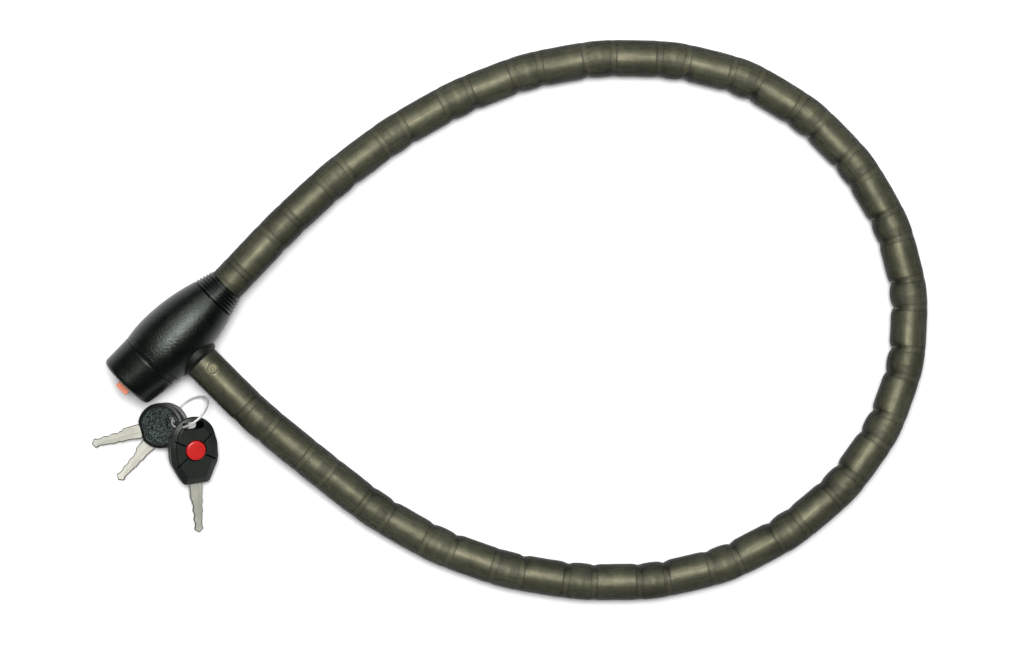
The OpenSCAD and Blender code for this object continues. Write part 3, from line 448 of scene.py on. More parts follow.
def armour_metal(name, colour, dents=1.2e-4, roughness=0.46):
    """The passivated steel of the sleeves and rings: yellow-brown, stained and a little dented."""
    f = Finish(name, Metallic=1.0)
    stains = f.noise(130.0, 5.0, 0.65)
    fine = f.noise(1100.0, 2.0)
    f.feed(
        Base_Color=f.mix(stains.step(0.3, 0.7), rgba(colour, 0.6), rgba(colour, 1.15)),
        Roughness=roughness - 0.05 + 0.12 * stains + 0.05 * fine,
        Normal=f.relief(f.noise(210.0, 3.0) + fine * 0.1, dents, SOFT_EDGE),
    )
    return f.material


def smoky_sheath(name, colour, shade_and_cloud, metal, clear):
    """The see-through plastic of the sheath: denser at its sides and painted darker there as shade, clouded
    and streaked along its length, painted darker as shade in its creases, and paler where it sinks into the
    gaps of the armour."""
    f = Finish(name, IOR=1.46, Specular_IOR_Level=0.22)
    clouds = f.noise(60.0, 4.0)
    fine = f.noise(420.0, 3.0)
    # Painted shade: where the sheath faces sideways or down it is painted towards the dark shade colour
    side = f.attribute("side")
    # Painted shade: the creases and the thin lines at the sleeves' and couplers' ends are painted darker, and
    # made denser
    fold = f.attribute("fold")
    gap = f.attribute("gap")
    along = f.node("ShaderNodeAttribute", {"attribute_name": "along"}).outputs["Vector"]
    streaks = f.noise(0.8, 4.0, 0.6, along)
    patches = f.noise(16.0, 2.0)
    # The share of the dark colour: random clouding, plus painted shade at the sides and in the creases and
    # lines
    shade_and_cloud_share = patches.step(0.35, 0.7) * 0.3 + clouds.step(0.3, 0.7) * 0.25 + fold * 0.8 + side * 0.95
    pale = f.mix(streaks.step(0.35, 0.7) * 0.7, rgba(colour), rgba(colour, 2.0))
    lit = f.mix(gap * (1.0 - side) * 0.6, pale, rgba(metal, 0.5))
    cover = clear + (0.9 - clear) * side + 0.2 * (clouds - 0.5) + 0.5 * (streaks - 0.5) + 0.4 * fold
    f.feed(
        Base_Color=f.mix(shade_and_cloud_share.clamp(), lit, rgba(shade_and_cloud)),
        Metallic=0.5 * gap * (1.0 - side),
        Roughness=0.42 + 0.14 * clouds + 0.06 * fine,
        Alpha=(cover + 0.45 * gap).clamp(0.0, 0.97),
        Normal=f.relief(fine * 0.3 + clouds * 0.7 + streaks * 0.6, 2e-4),
    )
    return f.material


def gloss(name, colour, roughness, **fixed):
    """A smooth moulded plastic with the faint unevenness of its skin."""
    f = Finish(name, IOR=1.49, **fixed)
    skin = f.noise(260.0, 3.0)
    f.feed(
        Base_Color=f.mix(skin.step(0.3, 0.7), rgba(colour, 0.93), rgba(colour, 1.06)),
        Roughness=roughness - 0.04 + 0.1 * skin,
        Normal=f.relief(skin + 0.3 * f.noise(1800.0, 2.0), 5e-5, 2e-4),
    )
    return f.material


def floor_finish(colour):
    f = Finish("pale_floor", Roughness=0.9)
    f.feed(Base_Color=f.mix(f.noise(3.0, 2.0), rgba(colour, 0.995), rgba(colour)))
    return f.material


# ---------------------------------------------------------------- mesh making

def as_object(name, mesh):
    made = bpy.data.objects.new(name, mesh)
    bpy.context.scene.collection.objects.link(made)
    return made


def from_data(name, points, faces):
    mesh = bpy.data.meshes.new(name)
    mesh.from_pydata([tuple(p) for p in points], [], faces)
    mesh.update()
    return mesh


@contextmanager
def opened(mesh):
    """The mesh open for edits, written back at the end."""
    made = bmesh.new()
    made.from_mesh(mesh)
    yield made
    made.to_mesh(mesh)
    made.free()


def smooth_shading(mesh, angle):
    """Smooth faces, with sharp edges where they turn by more than an angle in degrees."""
    mesh.polygons.foreach_set("use_smooth", [True] * len(mesh.polygons))
    with opened(mesh) as made:
        for edge in made.edges:
            edge.smooth = len(edge.link_faces) == 2 and edge.calc_face_angle(0.0) < math.radians(angle)


def cleaned(mesh, merge=1e-6):
    """Doubles merged and faces turned outwards."""
    with opened(mesh) as made:
        bmesh.ops.remove_doubles(made, verts=made.verts, dist=merge)
        bmesh.ops.dissolve_degenerate(made, edges=made.edges, dist=1e-7)
        bmesh.ops.recalc_face_normals(made, faces=made.faces)
    return mesh


def baked(made):
    """The object as its modifiers show it, as a plain mesh object of the same name."""
    bpy.context.view_layer.update()
    shown = made.evaluated_get(bpy.context.evaluated_depsgraph_get())
    mesh = bpy.data.meshes.new_from_object(shown)
    name = made.name
    bpy.data.objects.remove(made)
    fresh = as_object(name, mesh)
    mesh.name = name
    return fresh


def lofted(loops):
    """A skin over loops of as many points each, closed with a flat face at both ends."""
    n = len(loops[0])
    points = [p for loop in loops for p in loop]
    faces = []
    for i in range(len(loops) - 1):
        for k in range(n):
            j = (k + 1) % n
            faces.append((i * n + k, i * n + j, (i + 1) * n + j, (i + 1) * n + k))
    faces.append(tuple(reversed(range(n))))
    faces.append(tuple(range((len(loops) - 1) * n, len(loops) * n)))
    return points, faces


def stacked(outline, levels):
    """A solid whose outline is drawn in by an inset at each level: levels are (inset, height).
    The outline is a list of points, or a function that gives them for an inset."""
    rows = [(outline(inset) if callable(outline) else drawn_in(outline, inset), z) for inset, z in levels]
    return cleaned(from_data("stack", *lofted([[(x, y, z) for x, y in row] for row, z in rows])))


def drawn_in(outline, inset):
    """An anticlockwise outline moved inwards by an inset, corner by corner."""
    moved = []
    n = len(outline)
    for i, (x, y) in enumerate(outline):
        ax, ay = outline[i - 1]
        bx, by = outline[(i + 1) % n]
        before = Vector((x - ax, y - ay)).normalized()
        after = Vector((bx - x, by - y)).normalized()
        normal = Vector((-before.y - after.y, before.x + after.x))
        normal /= max(normal.length_squared / 2, 0.2)
        moved.append((x + normal.x * inset, y + normal.y * inset))
    return moved


def even_outline(corners, radii, steps=8):
    """An anticlockwise outline with each corner rounded in as many steps."""
    points = []
    n = len(corners)
    for i in range(n):
        corner = Vector(corners[i])
        back = (Vector(corners[i - 1]) - corner).normalized()
        ahead = (Vector(corners[(i + 1) % n]) - corner).normalized()
        half = back.angle(ahead) / 2
        r = radii[i]
        if r <= 0:
            points.append(corner)
            continue
        reach = r / math.tan(half)
        centre = corner + (back + ahead).normalized() * (r / math.sin(half))
        start, end = corner + back * reach - centre, corner + ahead * reach - centre
        turn = start.angle_signed(end)
        for k in range(steps + 1):
            angle = math.atan2(start.y, start.x) - turn * k / steps
            points.append(centre + Vector((math.cos(angle), math.sin(angle))) * r)
    return [tuple(p) for p in points]


def prism(name, outline, z0, z1):
    """An outline drawn up from one height to another."""
    return from_data(name, *lofted([[(x, y, z) for x, y in outline] for z in (z0, z1)]))


def plate_box(low, high):
    (x0, y0, z0), (x1, y1, z1) = low, high
    return prism("box", [(x0, y0), (x1, y0), (x1, y1), (x0, y1)], z0, z1)


def round_bar(radius, z0, z1, sides=48, centre=(0, 0)):
    outline = [(centre[0] + radius * math.cos(a), centre[1] + radius * math.sin(a))
               for a in np.linspace(0, 2 * math.pi, sides, endpoint=False)]
    return prism("bar", outline, z0, z1)


def lathed(profile, sides=96):
    """A solid of revolution about Z from (radius, height) pairs, closed on the axis."""
    angles = np.linspace(0, 2 * math.pi, sides, endpoint=False)
    loops = [[(r * math.cos(a), r * math.sin(a), z) for a in angles] for r, z in profile]
    return cleaned(from_data("lathe", *lofted(loops)))


def carved(mesh, *cutters):
    """The mesh less the cutters."""
    made = as_object("carving", mesh)
    tools = []
    for cutter in cutters:
        tool = as_object("cutter", cleaned(cutter))
        tools.append(tool)
        cut = made.modifiers.new("cut", "BOOLEAN")
        cut.operation, cut.solver, cut.object = "DIFFERENCE", "EXACT", tool
    made = baked(made)
    for tool in tools:
        bpy.data.objects.remove(tool)
    mesh = made.data
    bpy.data.objects.remove(made)
    return mesh


def joined(*meshes):
    made = bmesh.new()
    for mesh in meshes:
        made.from_mesh(mesh)
    mesh = bpy.data.meshes.new("joined")
    made.to_mesh(mesh)
    made.free()
    return mesh


def key_matrix(pose):
    place, heading, pitch, roll = pose
    made = Matrix.Scale(MM, 4) @ Matrix.Translation(place)
    for angle, axis in ((heading, "Z"), (pitch, "Y"), (roll, "X")):
        made = made @ Matrix.Rotation(math.radians(angle), 4, axis)
    return made


def head_matrix():
    """The head's own frame, in metres: its z is the lock's axis, x away from the port and y up."""
    axes = Matrix((-BOLT, UP, AXIS)).transposed().to_4x4()
    return Matrix.Scale(MM, 4) @ Matrix.Translation(HEAD) @ axes


def piece(name, mesh, matrix, body, finish, stands_for=(), angle=35.0):
    """A finished piece: placed, smoothed, finished, and riding on its body."""
    mesh.transform(matrix)
    cleaned(mesh, 1e-7)
    smooth_shading(mesh, angle)
    mesh.materials.clear()
    mesh.materials.append(finish)
    made = as_object(name, mesh)
    mesh.name = name
    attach(made, body)
    if stands_for:
        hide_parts(*stands_for)
    return made


def dress(names, finish):
    """A better finish on solids that stay as they are."""
    for name in names:
        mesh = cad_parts[name].data
        mesh.materials.clear()
        mesh.materials.append(finish)


# ---------------------------------------------------------------- geometry nodes

class Tree:
    """A geometry node tree with named inputs, that ends in Realize Instances and Set Material."""

    def __init__(self, name, **inputs):
        self.group = bpy.data.node_groups.new(name, "GeometryNodeTree")
        self.group.interface.new_socket("Geometry", in_out="INPUT", socket_type="NodeSocketGeometry")
        kinds = {float: "NodeSocketFloat", int: "NodeSocketInt"}
        for key, value in inputs.items():
            kind = kinds[type(value)]
            self.group.interface.new_socket(key, in_out="INPUT", socket_type=kind).default_value = value
        self.group.interface.new_socket("Geometry", in_out="OUTPUT", socket_type="NodeSocketGeometry")
        self.inputs = self.node("NodeGroupInput").outputs

    def node(self, kind, settings=None, values=None):
        made = self.group.nodes.new(kind)
        for key, value in (settings or {}).items():
            setattr(made, key, value)
        for key, value in (values or {}).items():
            if isinstance(value, bpy.types.NodeSocket):
                self.group.links.new(value, made.inputs[key])
            else:
                made.inputs[key].default_value = value
        return made

    def maths(self, operation, *values):
        return self.node("ShaderNodeMath", {"operation": operation}, dict(enumerate(values))).outputs[0]

    def vectors(self, operation, values):
        return self.node("ShaderNodeVectorMath", {"operation": operation}, values).outputs[0]

    def end(self, geometry, finish):
        realized = self.node("GeometryNodeRealizeInstances", {}, {0: geometry}).outputs[0]
        painted = self.node("GeometryNodeSetMaterial", {}, {"Geometry": realized, "Material": finish})
        self.node("NodeGroupOutput", {}, {0: painted.outputs[0]})

    def grown(self, name, mesh, **sizes):
        """The tree on a mesh, with these sizes, as a plain mesh."""
        made = as_object(name, mesh)
        modifier = made.modifiers.new("grow", "NODES")
        modifier.node_group = self.group
        for item in self.group.interface.items_tree:
            if item.item_type == "SOCKET" and item.in_out == "INPUT" and item.name in sizes:
                modifier[item.identifier] = sizes[item.name]
        made = baked(made)
        mesh = made.data
        bpy.data.objects.remove(made)
        return mesh


def ring_tree(finish):
    """A split ring: two turns of round wire, one above the other, with blunt ends."""
    t = Tree("split_ring", Radius=0.0117, Wire=0.0009, Turns=1.93, Steps=180)
    spiral = t.node("GeometryNodeCurveSpiral", {}, {
        "Resolution": t.inputs["Steps"], "Rotations": t.inputs["Turns"],
        "Start Radius": t.inputs["Radius"], "End Radius": t.inputs["Radius"],
        "Height": t.maths("MULTIPLY", t.inputs["Wire"], 0.99),
    }).outputs[0]
    lowered = t.node("GeometryNodeSetPosition", {}, {
        "Geometry": spiral,
        "Offset": t.node("ShaderNodeCombineXYZ", {}, {
            "Z": t.maths("MULTIPLY", t.inputs["Wire"], -0.5)}).outputs[0],
    }).outputs[0]
    profile = t.node("GeometryNodeCurvePrimitiveCircle", {}, {
        "Resolution": 14, "Radius": t.maths("MULTIPLY", t.inputs["Wire"], 0.5)}).outputs[0]
    wire = t.node("GeometryNodeCurveToMesh", {}, {
        "Curve": lowered, "Profile Curve": profile, "Fill Caps": True})
    t.end(wire.outputs[0], finish)
    return t


def rib_tree(finish):
    """Rounded ribs along +Z, each smaller than the one before."""
    t = Tree("neck_ribs", Count=5, First=0.0135, Last=0.0112, Length=0.0105, Thickness=0.0008)
    step = t.maths("DIVIDE", t.inputs["Length"], t.inputs["Count"])
    line = t.node("GeometryNodeMeshLine", {"mode": "OFFSET"}, {
        "Count": t.inputs["Count"],
        "Offset": t.node("ShaderNodeCombineXYZ", {}, {"Z": step}).outputs[0],
    }).outputs[0]
    ring = t.node("GeometryNodeCurvePrimitiveCircle", {}, {"Resolution": 96, "Radius": 1.0}).outputs[0]
    index = t.node("GeometryNodeInputIndex").outputs[0]
    share = t.maths("DIVIDE", index, t.maths("SUBTRACT", t.inputs["Count"], 1.0))
    radius = t.node("ShaderNodeMapRange", {}, {
        "Value": share, "To Min": t.inputs["First"], "To Max": t.inputs["Last"]}).outputs[0]
    placed = t.node("GeometryNodeInstanceOnPoints", {}, {
        "Points": line, "Instance": ring,
        "Scale": t.node("ShaderNodeCombineXYZ", {}, {"X": radius, "Y": radius, "Z": 1.0}).outputs[0],
    }).outputs[0]
    loose = t.node("GeometryNodeRealizeInstances", {}, {0: placed}).outputs[0]
    profile = t.node("GeometryNodeCurvePrimitiveCircle", {}, {
        "Resolution": 12, "Radius": t.inputs["Thickness"]}).outputs[0]
    ribs = t.node("GeometryNodeCurveToMesh", {}, {"Curve": loose, "Profile Curve": profile}).outputs[0]
    t.end(ribs, finish)
    return t


def strand_tree(finish):
    """Strands laid round a middle line, each a round wire."""
    t = Tree("rope_strands", Strands=6, Radius=0.0019, Wire=0.00095, Lay=0.036, Step=0.003)
    line = t.node("GeometryNodeMeshToCurve", {}, {"Mesh": t.inputs["Geometry"]}).outputs[0]
    even = t.node("GeometryNodeResampleCurve", {"mode": "LENGTH"}, {
        "Curve": line, "Length": t.inputs["Step"]}).outputs[0]
    copies = t.node("GeometryNodeDuplicateElements", {"domain": "SPLINE"}, {
        "Geometry": even, "Amount": t.inputs["Strands"]})
    tangent = t.node("GeometryNodeInputTangent").outputs[0]
    run = t.node("GeometryNodeSplineParameter").outputs["Length"]
    strand = copies.outputs["Duplicate Index"]
    angle = t.maths(
        "ADD",
        t.maths("MULTIPLY", t.maths("DIVIDE", run, t.inputs["Lay"]), 2 * math.pi),
        t.maths("MULTIPLY", t.maths("DIVIDE", strand, t.inputs["Strands"]), 2 * math.pi),
    )
    side = t.vectors("NORMALIZE", {0: t.vectors("CROSS_PRODUCT", {0: (0, 0, 1), 1: tangent})})
    over = t.vectors("CROSS_PRODUCT", {0: tangent, 1: side})
    parts = []
    for direction, wave in ((side, "COSINE"), (over, "SINE")):
        reach = t.maths("MULTIPLY", t.maths(wave, angle), t.inputs["Radius"])
        parts.append(t.vectors("SCALE", {0: direction, "Scale": reach}))
    offset = t.vectors("ADD", dict(enumerate(parts)))
    laid = t.node("GeometryNodeSetPosition", {}, {"Geometry": copies.outputs[0], "Offset": offset}).outputs[0]
    profile = t.node("GeometryNodeCurvePrimitiveCircle", {}, {
        "Resolution": 8, "Radius": t.inputs["Wire"]}).outputs[0]
    wires = t.node("GeometryNodeCurveToMesh", {}, {
        "Curve": laid, "Profile Curve": profile, "Fill Caps": True})
    t.end(wires.outputs[0], finish)
    return t


# ---------------------------------------------------------------- settings

class StudioSettings(bpy.types.PropertyGroup):
    floor_colour: FloatVectorProperty(
        name="Floor colour", description="Colour of the pale floor", subtype="COLOR",
        default=(0.92, 0.92, 0.92))
    lens: FloatProperty(name="Lens", description="Focal length of the camera in millimetres", default=99.0)
    height: FloatProperty(
        name="Camera height", description="Height of the camera above the floor", unit="LENGTH", default=1.56)
    sky: FloatProperty(name="Sky", description="Brightness of the room round the lock", default=0.06)
    softbox: FloatProperty(name="Softbox", description="Power of the softbox above in watts", default=50.0)


class CableSettings(bpy.types.PropertyGroup):
    sheath_colour: FloatVectorProperty(
        name="Sheath colour", description="Colour of the smoky sheath", subtype="COLOR",
        default=(0.054, 0.059, 0.039))
    # The dark colour of the sheath: painted shade at its sides and in its creases, and its random clouds
    sheath_shade_and_cloud: FloatVectorProperty(
        name="Shade and cloud colour", description="Colour of the sheath in its creases", subtype="COLOR",
        default=(0.012, 0.013, 0.008))
    sheath_cover: FloatProperty(
        name="Sheath cover", description="How much the sheath hides of what is under it", default=0.56,
        min=0, max=1)
    steel_colour: FloatVectorProperty(
        name="Armour colour", description="Colour of the sleeves and rings", subtype="COLOR",
        default=(0.31, 0.29, 0.185))
    rope_colour: FloatVectorProperty(
        name="Rope colour", description="Colour of the wire rope", subtype="COLOR",
        default=(0.3, 0.29, 0.26))
    sides: IntProperty(name="Sides", description="Faces round the sheath", default=56)
    crease: FloatProperty(
        name="Crease", description="How far the sheath folds on the inside of a bend, in millimetres",
        default=1.0)


class HeadSettings(bpy.types.PropertyGroup):
    plastic_colour: FloatVectorProperty(
        name="Casing colour", description="Colour of the black casing", subtype="COLOR",
        default=(0.0012, 0.0022, 0.0015))
    collar_colour: FloatVectorProperty(
        name="Collar colour", description="Colour of the collar round the port", subtype="COLOR",
        default=(0.003, 0.004, 0.003))
    cover_colour: FloatVectorProperty(
        name="Cover colour", description="Colour of the keyhole cover", subtype="COLOR",
        default=(0.6, 0.14, 0.035))
    rib_count: IntProperty(name="Ribs", description="Number of ribs round the neck", default=5)


class KeySettings(bpy.types.PropertyGroup):
    nickel_colour: FloatVectorProperty(
        name="Blade colour", description="Colour of the plated blades", subtype="COLOR",
        default=(0.6, 0.6, 0.52))
    bow_colour: FloatVectorProperty(
        name="Bow colour", description="Colour of the keys' plastic", subtype="COLOR",
        default=(0.004, 0.006, 0.005))
    button_colour: FloatVectorProperty(
        name="Button colour", description="Colour of the lit key's button", subtype="COLOR",
        default=(0.5, 0.014, 0.012))


# ---------------------------------------------------------------- operators

EYE_AT = (0.0011, -0.0066)
FLOOR_HALF = 4.0
FLOOR_LEVELS = (-0.02, -0.0003)

# Name, place, width, depth and share of the power of each light
SOFTBOXES = (
    ("softbox_top", (0.06, 0.2, 2.0), 0.75, 0.65, 0.92),
    ("softbox_back", (-0.35, 1.0, 1.6), 1.2, 0.6, 0.24),
)


class LOCK_OT_studio(bpy.types.Operator):
    """Builds the floor, the soft lights and the camera above the lock"""
    bl_idname = "lock.studio"
    bl_label = "Build the studio"

    def execute(self, context):
        s = context.scene.lock_studio
        camera = bpy.data.cameras.new("camera")
        camera.sensor_width, camera.lens, camera.clip_start = 36.0, s.lens, 0.01
        eye = as_object("camera", camera)
        eye.location = (*EYE_AT, s.height)
        context.scene.camera = eye
        half = FLOOR_HALF
        corners = [(-half, -half), (half, -half), (half, half), (-half, half)]
        plane = cleaned(prism("floor", corners, *FLOOR_LEVELS))
        plane.materials.append(floor_finish(s.floor_colour))
        as_object("floor", plane)
        for name, place, width, height, share in SOFTBOXES:
            light = bpy.data.lights.new(name, "AREA")
            light.shape, light.size, light.size_y = "RECTANGLE", width, height
            light.energy = s.softbox * share
            lamp = as_object(name, light)
            lamp.location = place
            lamp.rotation_euler = (-Vector(place)).to_track_quat("-Z", "Y").to_euler()
        world = bpy.data.worlds.new("room")
        world.use_nodes = True
        room = world.node_tree.nodes["Background"].inputs
        room[0].default_value, room[1].default_value = (1, 1, 1, 1), s.sky
        context.scene.world = world
        context.scene.view_settings.view_transform = "Standard"
        return {"FINISHED"}


class LOCK_OT_cable(bpy.types.Operator):
    """Builds the smoky sheath and the wire rope along the cable, and finishes the armour inside"""
    bl_idname = "lock.cable"
    bl_label = "Build the cable"

    def execute(self, context):
        s = context.scene.lock_cable
        route = Route()
        stations = route.stations()
        sheath = smoky_sheath("smoky_sheath", s.sheath_colour, s.sheath_shade_and_cloud, s.steel_colour, s.sheath_cover)
        cuts = self.cut_places(stations, route)
        bends = self.bends(stations, route)
        dress([f"sleeves_{c}" for c in "abcd"] + ["end_sleeve"], armour_metal("armour_steel", s.steel_colour))
        dress([f"couplers_{c}" for c in "abcd"], armour_metal("coupler_steel", s.steel_colour, 3e-4, 0.5))
        steel = bare_metal("rope_steel", s.rope_colour, 0.4)
        self.rivet(armour_metal("rivet_steel", s.steel_colour, 4e-5, 0.5))
        dress(["locking_bolt"], bare_metal("bolt_steel", (0.5, 0.5, 0.48), 0.42))
        tree = strand_tree(steel)
        bodies = ["lock", "cable_b", "cable_c", "cable_d"]
        hidden = (["sheath_a"], ["sheath_b", "sheath_c"], ["sheath_d"])
        ropes = (["wire_rope_a"], ["wire_rope_b", "wire_rope_c"], ["wire_rope_d"])
        for i, knee in enumerate(route.knee_points):
            part = stations[cuts[i]:cuts[i + 1] + 1]
            made = self.tube(f"sheath_{i + 1}", part, bends[cuts[i]:cuts[i + 1] + 1], s, sheath)
            rope = self.rope(f"rope_{i + 1}", part, tree, i)
            direction = min(stations, key=lambda station: (station[0] - knee).length)[1]
            start, end = (knee - KNEE_HALF * direction) * MM, (knee + KNEE_HALF * direction) * MM
            for soft, slot, solids in ((made, "smoky_sheath", hidden[i]), (rope, "steel", ropes[i])):
                bodies[i + 1]
                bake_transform(soft)
                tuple(start)
                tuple(end)
                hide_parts(*solids)
            path = [tuple(station[0] * MM) for station in part]
            length = sum((Vector(b) - Vector(a)).length for a, b in zip(path, path[1:]))
            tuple(path[0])
        return {"FINISHED"}

    @staticmethod
    def rivet(finish):
        """The rivet through the end sleeve and the bolt, with a ringed flush head at both ends."""
        head = [(1.0, 8.5), (1.3, 8.7), (2.35, 8.7), (2.62, 8.42), (2.95, 8.42), (2.95, 8.32), (2.0, 8.31)]
        mesh = lathed([(r, -z) for r, z in head] + head[::-1], 64)
        z = (rivet_place(1.0) - rivet_place(0.0)).normalized()
        axes = Matrix((BOLT, z.cross(BOLT), z)).transposed().to_4x4()
        place = Matrix.Scale(MM, 4) @ Matrix.Translation(rivet_place(0.0)) @ axes
        piece("ringed_rivet", mesh, place, "cable_d", finish, ("bolt_rivet",), 30.0)

    @staticmethod
    def cut_places(stations, route):
        """The stations where one sheath piece ends and the next begins: in the gap before a coupler."""
        cuts = [0]
        for a, b in zip(route.knees, route.knees[1:]):
            middle = (a + b) // 2
            inside = [i for i, (*_, near, away) in enumerate(stations) if near == middle and away < -CUT_AT]
            cuts.append(inside[-1])
        return cuts + [len(stations) - 1]

    @staticmethod
    def bends(stations, route):
        """How far the cable turns at each coupler, in degrees, and to which side, for each station."""
        turns = [0.0]
        for k in range(1, len(route.couplers) - 1):
            a = route.couplers[k] - route.couplers[k - 1]
            b = route.couplers[k + 1] - route.couplers[k]
            turns.append(math.degrees(a.xy.angle_signed(b.xy)))
        turns.append(LAST_BEND)
        return [turns[near] for *_, near, _ in stations]

    @staticmethod
    def tube(name, stations, bends, s, finish):
        """One stretch of sheath, drawn in at the gaps of the armour and creased inside its bends."""
        angles = np.linspace(0, 2 * math.pi, s.sides, endpoint=False).tolist()
        middles = [station[0] for station in stations]
        runs = np.cumsum([0.0] + [(b - a).length for a, b in zip(middles, middles[1:])]).tolist()
        loops, side_shade, crease_and_line_shade, gap_share, along = [], [], [], [], []
        rng = np.random.default_rng(7)
        waves = rng.uniform(0, 2 * math.pi, (6,))
        rivet = rivet_place(CABLE_R)
        for i, (point, tangent, near, away) in enumerate(stations):
            across = UP.cross(tangent).normalized()
            over = tangent.cross(across)
            inner = 1.0 if bends[i] > 0 else -1.0
            turn = min(abs(bends[i]) / FULL_BEND, 1.2)
            seed = math.sin(near * 12.9898 + 4.1) * 43758.5453
            chance = seed - math.floor(seed)
            part = 2 * near + (0 if abs(away) < GAP_AT else math.copysign(1, away))
            gap = math.exp(-((abs(away) - GAP_AT) / GAP_HALF) ** 4)
            # Thin lines of painted shade at the ends of the sleeves and of the couplers
            ring = hump(abs(away), SLEEVE_SHADE_LINE_AT, SHADE_LINE_HALF) * (0.3 + 0.7 * abs(math.sin(3.1 * near + away)))
            ring += 0.6 * hump(abs(away), COUPLER_SHADE_LINE_AT, SHADE_LINE_HALF) * abs(math.cos(2.3 * near + away))
            loop = []
            for angle in angles:
                c, z = math.cos(angle), math.sin(angle)
                to_inner = max(0.0, -inner * c)
                leant = away + (0.5 - chance) * FOLD_LEAN * z
                swell = hump(leant, 0, SWELL_HALF) * to_inner**1.5 * turn
                fold = 0.0
                for middle, share in ((-GAP_AT, 1.3 - chance), (GAP_AT, 0.3 + chance)):
                    fold += max(0.2, min(2.0 * share - 0.6, 1.0)) * hump(leant, middle, FOLD_HALF)
                fold = min(fold, 1.0) * to_inner * turn
                ripple = 0.05 * math.sin(runs[i] * 0.21 + waves[0] + 2 * angle)
                ripple *= math.sin(runs[i] * 0.13 + waves[1])
                ripple += 0.03 * math.sin(runs[i] * 0.55 + 3 * angle + waves[2])
                radius = CABLE_R - SKIN_INSET - GAP_DEPTH * gap + ripple * (1 - abs(z))
                radius += s.crease * (0.6 * swell * (0.3 + 0.7 * chance) - 1.1 * fold)
                if not FREE_FROM < abs(away) < FREE_TO:
                    radius = max(radius, ARMOUR_R + ARMOUR_CLEAR)
                if z < -0.9:
                    radius = min(radius, CABLE_R - FLOOR_CLEAR)
                loop.append(point + radius * (c * across + z * over))
                # The share of painted shade: full where the sheath faces sideways or down, none on its top
                side_shade.append(1.0 - min(1.0, max(0.0, (z - 0.38) / 0.5)))
                # The share of painted shade in the creases and along the lines at the sleeves' and couplers'
                # ends
                crease_and_line_shade.append(min(1.0, fold + 0.5 * ring))
                gap_share.append(gap if (loop[-1] - rivet).length > RIVET_CLEAR else -0.45)
                along += [c * CABLE_R, z * CABLE_R, 0.06 * runs[i] + 11.3 * part]
            loops.append(loop)
        mesh = from_data(name, *lofted(loops))
        for key, values in (("side", side_shade), ("fold", crease_and_line_shade), ("gap", gap_share)):
            attribute = mesh.attributes.new(key, "FLOAT", "POINT")
            attribute.data.foreach_set("value", values)
        mesh.attributes.new("along", "FLOAT_VECTOR", "POINT").data.foreach_set("vector", along)
        mesh.transform(Matrix.Scale(MM, 4))
        with opened(mesh) as made:
            bmesh.ops.recalc_face_normals(made, faces=made.faces)
        smooth_shading(mesh, 60.0)
        mesh.materials.append(finish)
        return as_object(name, mesh)

    @staticmethod
    def rope(name, stations, tree, part):
        """A stretch of wire rope. The first starts in the lock body, and the last stops in the end sleeve."""
        points = [station[0] for station in stations]
        if part == 0:
            points = [head_point(0, 0, ROPE_START), head_point(0, 0, 60)] + points
        if part == 2:
            points = points[:-ROPE_SHORT]
        mesh = bpy.data.meshes.new(name)
        mesh.from_pydata([tuple(p * MM) for p in points], [(i, i + 1) for i in range(len(points) - 1)], [])
        mesh = tree.grown(name, mesh)
        smooth_shading(mesh, 60.0)
        made = as_object(name, mesh)
        mesh.name = name
        return made


class LOCK_OT_head(bpy.types.Operator):
    """Finishes the barrel, its end cap and collar, and builds the ribbed neck"""
    bl_idname = "lock.head"
    bl_label = "Build the lock head"

    def execute(self, context):
        s = context.scene.lock_head
        dress(["barrel_casing"], moulded("black_casing", s.plastic_colour))
        dress(["end_cap"],
              moulded("black_cap", s.plastic_colour, depth=1.2e-4, roughness=0.24, wear=0.2, shine=0.4))
        grey = moulded("grey_collar", s.collar_colour, roughness=0.45, shine=0.25)
        piece("rounded_collar", self.collar(), head_matrix(), "lock", grey,
              ("port_collar",), 40.0)
        dress(["keyhole_cover"], gloss("orange_cover", s.cover_colour, 0.38))
        boot = moulded("black_boot", s.plastic_colour, depth=8e-5, roughness=0.22, shine=0.5)
        core = lathed([(10.2, 60.1), (10.6, 60.4), (10.6, 66.6), (12.9, 66.9), (12.9, 67.2), (12.3, 67.5),
                       (10.45, 76.0), (10.75, 76.4), (10.75, 76.95), (10.15, 77.0)])
        core.transform(Matrix.Scale(MM, 4))
        ribs = rib_tree(boot).grown("ribs", bpy.data.meshes.new("ribs"), Count=s.rib_count,
                                    First=0.01265, Last=0.0106, Length=0.0093, Thickness=0.00076)
        ribs.transform(Matrix.Translation((0, 0, RIBS_FOOT * MM)))
        mesh = joined(core, ribs)
        mesh.transform(Matrix.Scale(1 / MM, 4))
        piece("ribbed_neck", mesh, head_matrix(), "lock", boot, ("neck_boot",), 50.0)
        return {"FINISHED"}

    @staticmethod
    def collar():
        """The ring round the bolt's port, with a rounded rim, cut to the lock body behind it."""
        r, face = COLLAR_R, COLLAR_FACE
        ring = lathed([(r, 10.0), (r, face - 2.0), (r - 0.1, face - 1.3), (r - 0.4, face - 0.65),
                       (r - 0.9, face - 0.2), (r - 1.55, face)], 72)
        bore = round_bar(PORT_BORE_R, 5.0, 25.0)
        for mesh in (ring, bore):
            mesh.transform(Matrix.Translation((0, 0, PORT_AT)) @ Matrix.Rotation(math.radians(-90), 4, "Y"))
        return carved(ring, bore, round_bar(BODY_R + BODY_FIT, 0.0, 80.0, 96))


